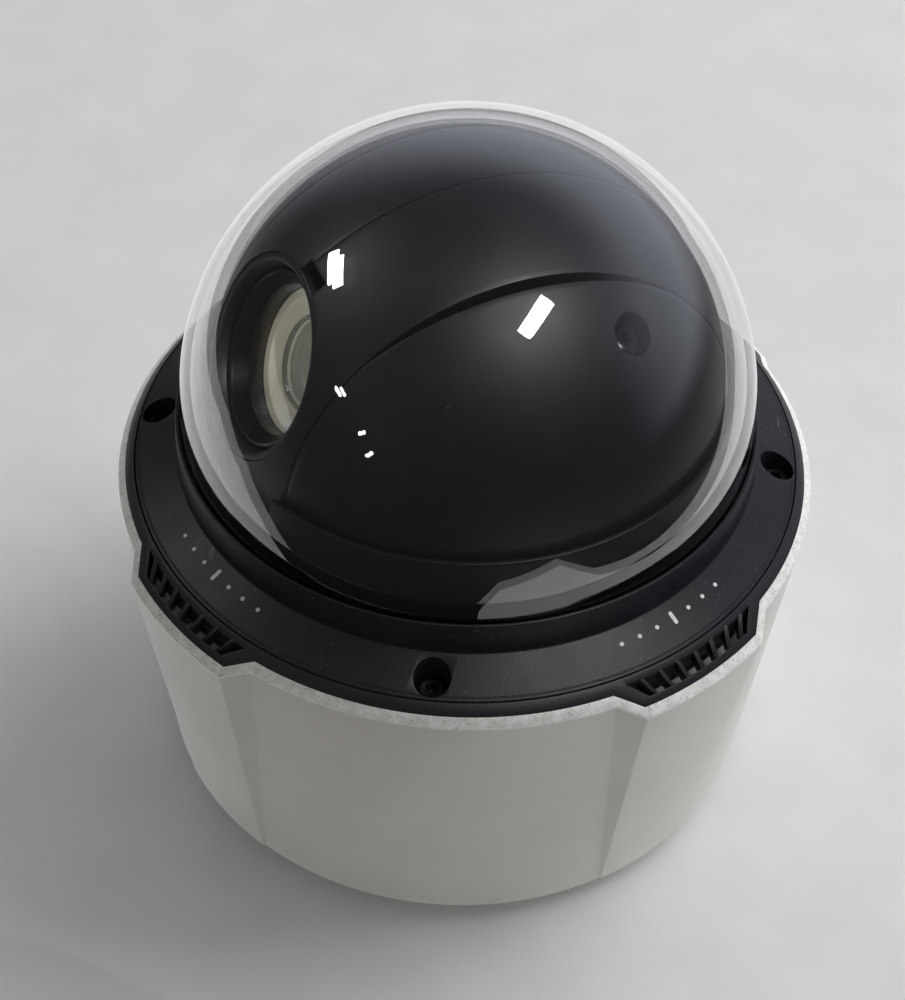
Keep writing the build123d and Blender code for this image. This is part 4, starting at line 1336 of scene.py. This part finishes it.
# Everything else, and the room
@dataclass
class Insides:
    """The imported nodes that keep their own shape."""

    nodes: dict[str, bpy.types.Object]
    slots: dict[str, str]

    def build(self) -> None:
        """Dress every node in the finish of its slot."""
        for name, node in self.nodes.items():
            finish = SLOT_FINISH[self.slots[name]]
            node.data.materials.clear()
            node.data.materials.append(finish.material())
            LOG.info("node %s wears %s", name, finish.name)


@dataclass
class Studio:
    """Pale floor, soft light and the camera."""

    camera_at: Point = (29.372, -410.571, 508.646)
    right: Point = (0.99440992, 0.10296486, 0.02339105)
    down: Point = (0.09072414, -0.71985755, -0.6881673)
    ahead: Point = (-0.05401883, 0.68644253, -0.72517489)
    lens_mm: float = 81.066

    def floor(self) -> None:
        """One pale sheet for the eye, and a table top of real extent for reflections."""
        pale = Finish("floor_pale", (0.86, 0.855, 0.86), 0.6, grain_scale=300.0, grain_depth=0.02, tone=0.02)
        sheet = mesh_object("floor", block((-2500, -2500, -20), (2500, 2500, -0.02)), pale)
        sheet.visible_glossy = False
        edge = [
            (-430, 900),
            (-430, 14),
            (-311, -77),
            (-203, -99),
            (-99, -101),
            (7, -137),
            (64, -217),
            (166, -235),
            (156, -137),
            (181, -76),
            (243, 43),
            (346, 190),
            (600, 900),
        ]
        lit = Finish("table_lit", (0.36, 0.36, 0.365), 0.6, grain_depth=0.0, tone=0.06, glow=1.9)
        lit.material().cycles.emission_sampling = "NONE"
        table = mesh_object("table_top", prism([(float(x), float(y)) for x, y in edge], -0.01, 0.2), lit)
        table.visible_camera = False
        table.visible_diffuse = False
        table.visible_shadow = False
        table.visible_transmission = False

    def lamp(
        self, name: str, at: Point, size: tuple[float, float], power: float, colour: Colour, turn: float = 0.0
    ) -> bpy.types.Object:
        """One rectangular lamp aimed at the dome.

        Args:
            name: The lamp's name.
            at: Its place in metres.
            size: Width and length in metres; the length runs along Y.
            power: Watts.
            colour: Its colour.
            turn: Degrees it is turned about its own beam.

        Returns:
            The lamp.
        """
        data = bpy.data.lights.new(name, "AREA")
        data.shape = "RECTANGLE"
        data.size, data.size_y = size
        data.energy = power
        data.color = colour
        made = bpy.data.objects.new(name, data)
        bpy.context.scene.collection.objects.link(made)
        back = (Vector(at) - Vector((0, 0, 0.12))).normalized()
        side = Vector((0, 1, 0)).cross(back).normalized()
        along = back.cross(side)
        spin = Matrix.Rotation(math.radians(turn), 4, "Z")
        made.matrix_world = Matrix.Translation(at) @ Matrix((side, along, back)).transposed().to_4x4() @ spin
        return made

    def room(self) -> None:
        """Ambient light, bright high at the back right and dim at the front."""
        world = bpy.data.worlds.new("room")
        bpy.context.scene.world = world
        world.use_nodes = True
        world.node_tree.nodes.clear()
        graph = Graph(world.node_tree)
        way = graph.wire(graph.node("ShaderNodeTexCoord"), "Generated")
        spot = graph.node("ShaderNodeSeparateXYZ", None, Vector=way)
        x, y, z = (Wire(graph, spot.outputs[k]) for k in range(3))
        toward = x * 0.5 + y * 0.87
        low = 1.0 - z.ramp(0.40, 0.80)
        bright = toward.ramp(-0.25, 0.85) * (low * 0.88 + 0.12)
        soft = graph.blend(bright, rgba((0.155, 0.150, 0.142)), rgba((1.22, 1.24, 1.29)))
        wall = toward.ramp(0.12, 1.0) * (low * 0.88 + 0.12) * z.ramp(-0.10, 0.06)
        mirrored = graph.blend(wall, rgba((0.030, 0.030, 0.034)), rgba((0.52, 0.55, 0.62)))
        path = graph.node("ShaderNodeLightPath")
        colour = graph.blend(graph.wire(path, "Is Glossy Ray"), soft, mirrored)
        colour = graph.blend(graph.wire(path, "Is Camera Ray"), colour, rgba((0.62, 0.62, 0.63)))
        sky = graph.node("ShaderNodeBackground", None, Color=colour, Strength=1.0)
        out = graph.node("ShaderNodeOutputWorld")
        graph.feed(out.inputs["Surface"], graph.wire(sky, "Background"))

    def camera(self) -> None:
        """The camera, by its place and axes."""
        data = bpy.data.cameras.new("view")
        data.lens = self.lens_mm
        data.sensor_width = 36.0
        data.sensor_fit = "AUTO"
        data.clip_end = 20.0
        made = bpy.data.objects.new("view", data)
        bpy.context.scene.collection.objects.link(made)
        axes = Matrix((self.right, [-v for v in self.down], [-v for v in self.ahead])).transposed()
        made.matrix_world = Matrix.Translation(Vector(self.camera_at) * MM) @ axes.to_4x4()
        bpy.context.scene.camera = made

    def build(self) -> None:
        """Set the stage."""
        self.floor()
        self.room()
        key = self.lamp("key", (1.20, 0.75, 1.35), (1.6, 1.6), 22.0, (1.0, 0.995, 1.0))
        key.visible_glossy = False
        panels = [
            self.lamp("panel_left", (-1.223, 0.278, 1.196), (0.12, 0.36), 4.0, (1.0, 0.98, 0.95)),
            self.lamp("panel_right", (0.693, -0.344, 1.593), (0.16, 0.46), 15.0, (0.97, 0.98, 1.0), -16.0),
        ]
        for panel in panels:
            panel.visible_diffuse = False
        self.lamp("spot_a", (-1.20, -0.90, 0.84), (0.03, 0.11), 0.4, (1.0, 0.93, 0.84))
        self.lamp("spot_b", (-0.97, -1.26, 0.63), (0.035, 0.035), 0.2, (1.0, 0.95, 0.85))
        self.lamp("spot_c", (-0.87, -1.38, 0.46), (0.035, 0.035), 0.2, (1.0, 0.95, 0.85))
        self.camera()
        bpy.context.scene.view_settings.view_transform = "Standard"


def main() -> None:
    """Build every sub-assembly in order."""
    logging.basicConfig(level=logging.INFO, format="%(name)s: %(message)s")
    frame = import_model()
    slots = {s["node"]: s["material_slot"] for s in frame["record"]["subparts"]}
    Insides(frame["nodes"], slots).build()
    pattern = ArcPattern()
    housing = Housing()
    housing.build(pattern)
    TrimRing(housing).build(pattern)
    DomeRing().build(pattern)
    Bubble().build()
    head = HeadFrame()
    Ball(head).build()
    Shroud(head).build()
    Lens(head).build()
    Studio().build()


if __name__ == "__main__":
    main()
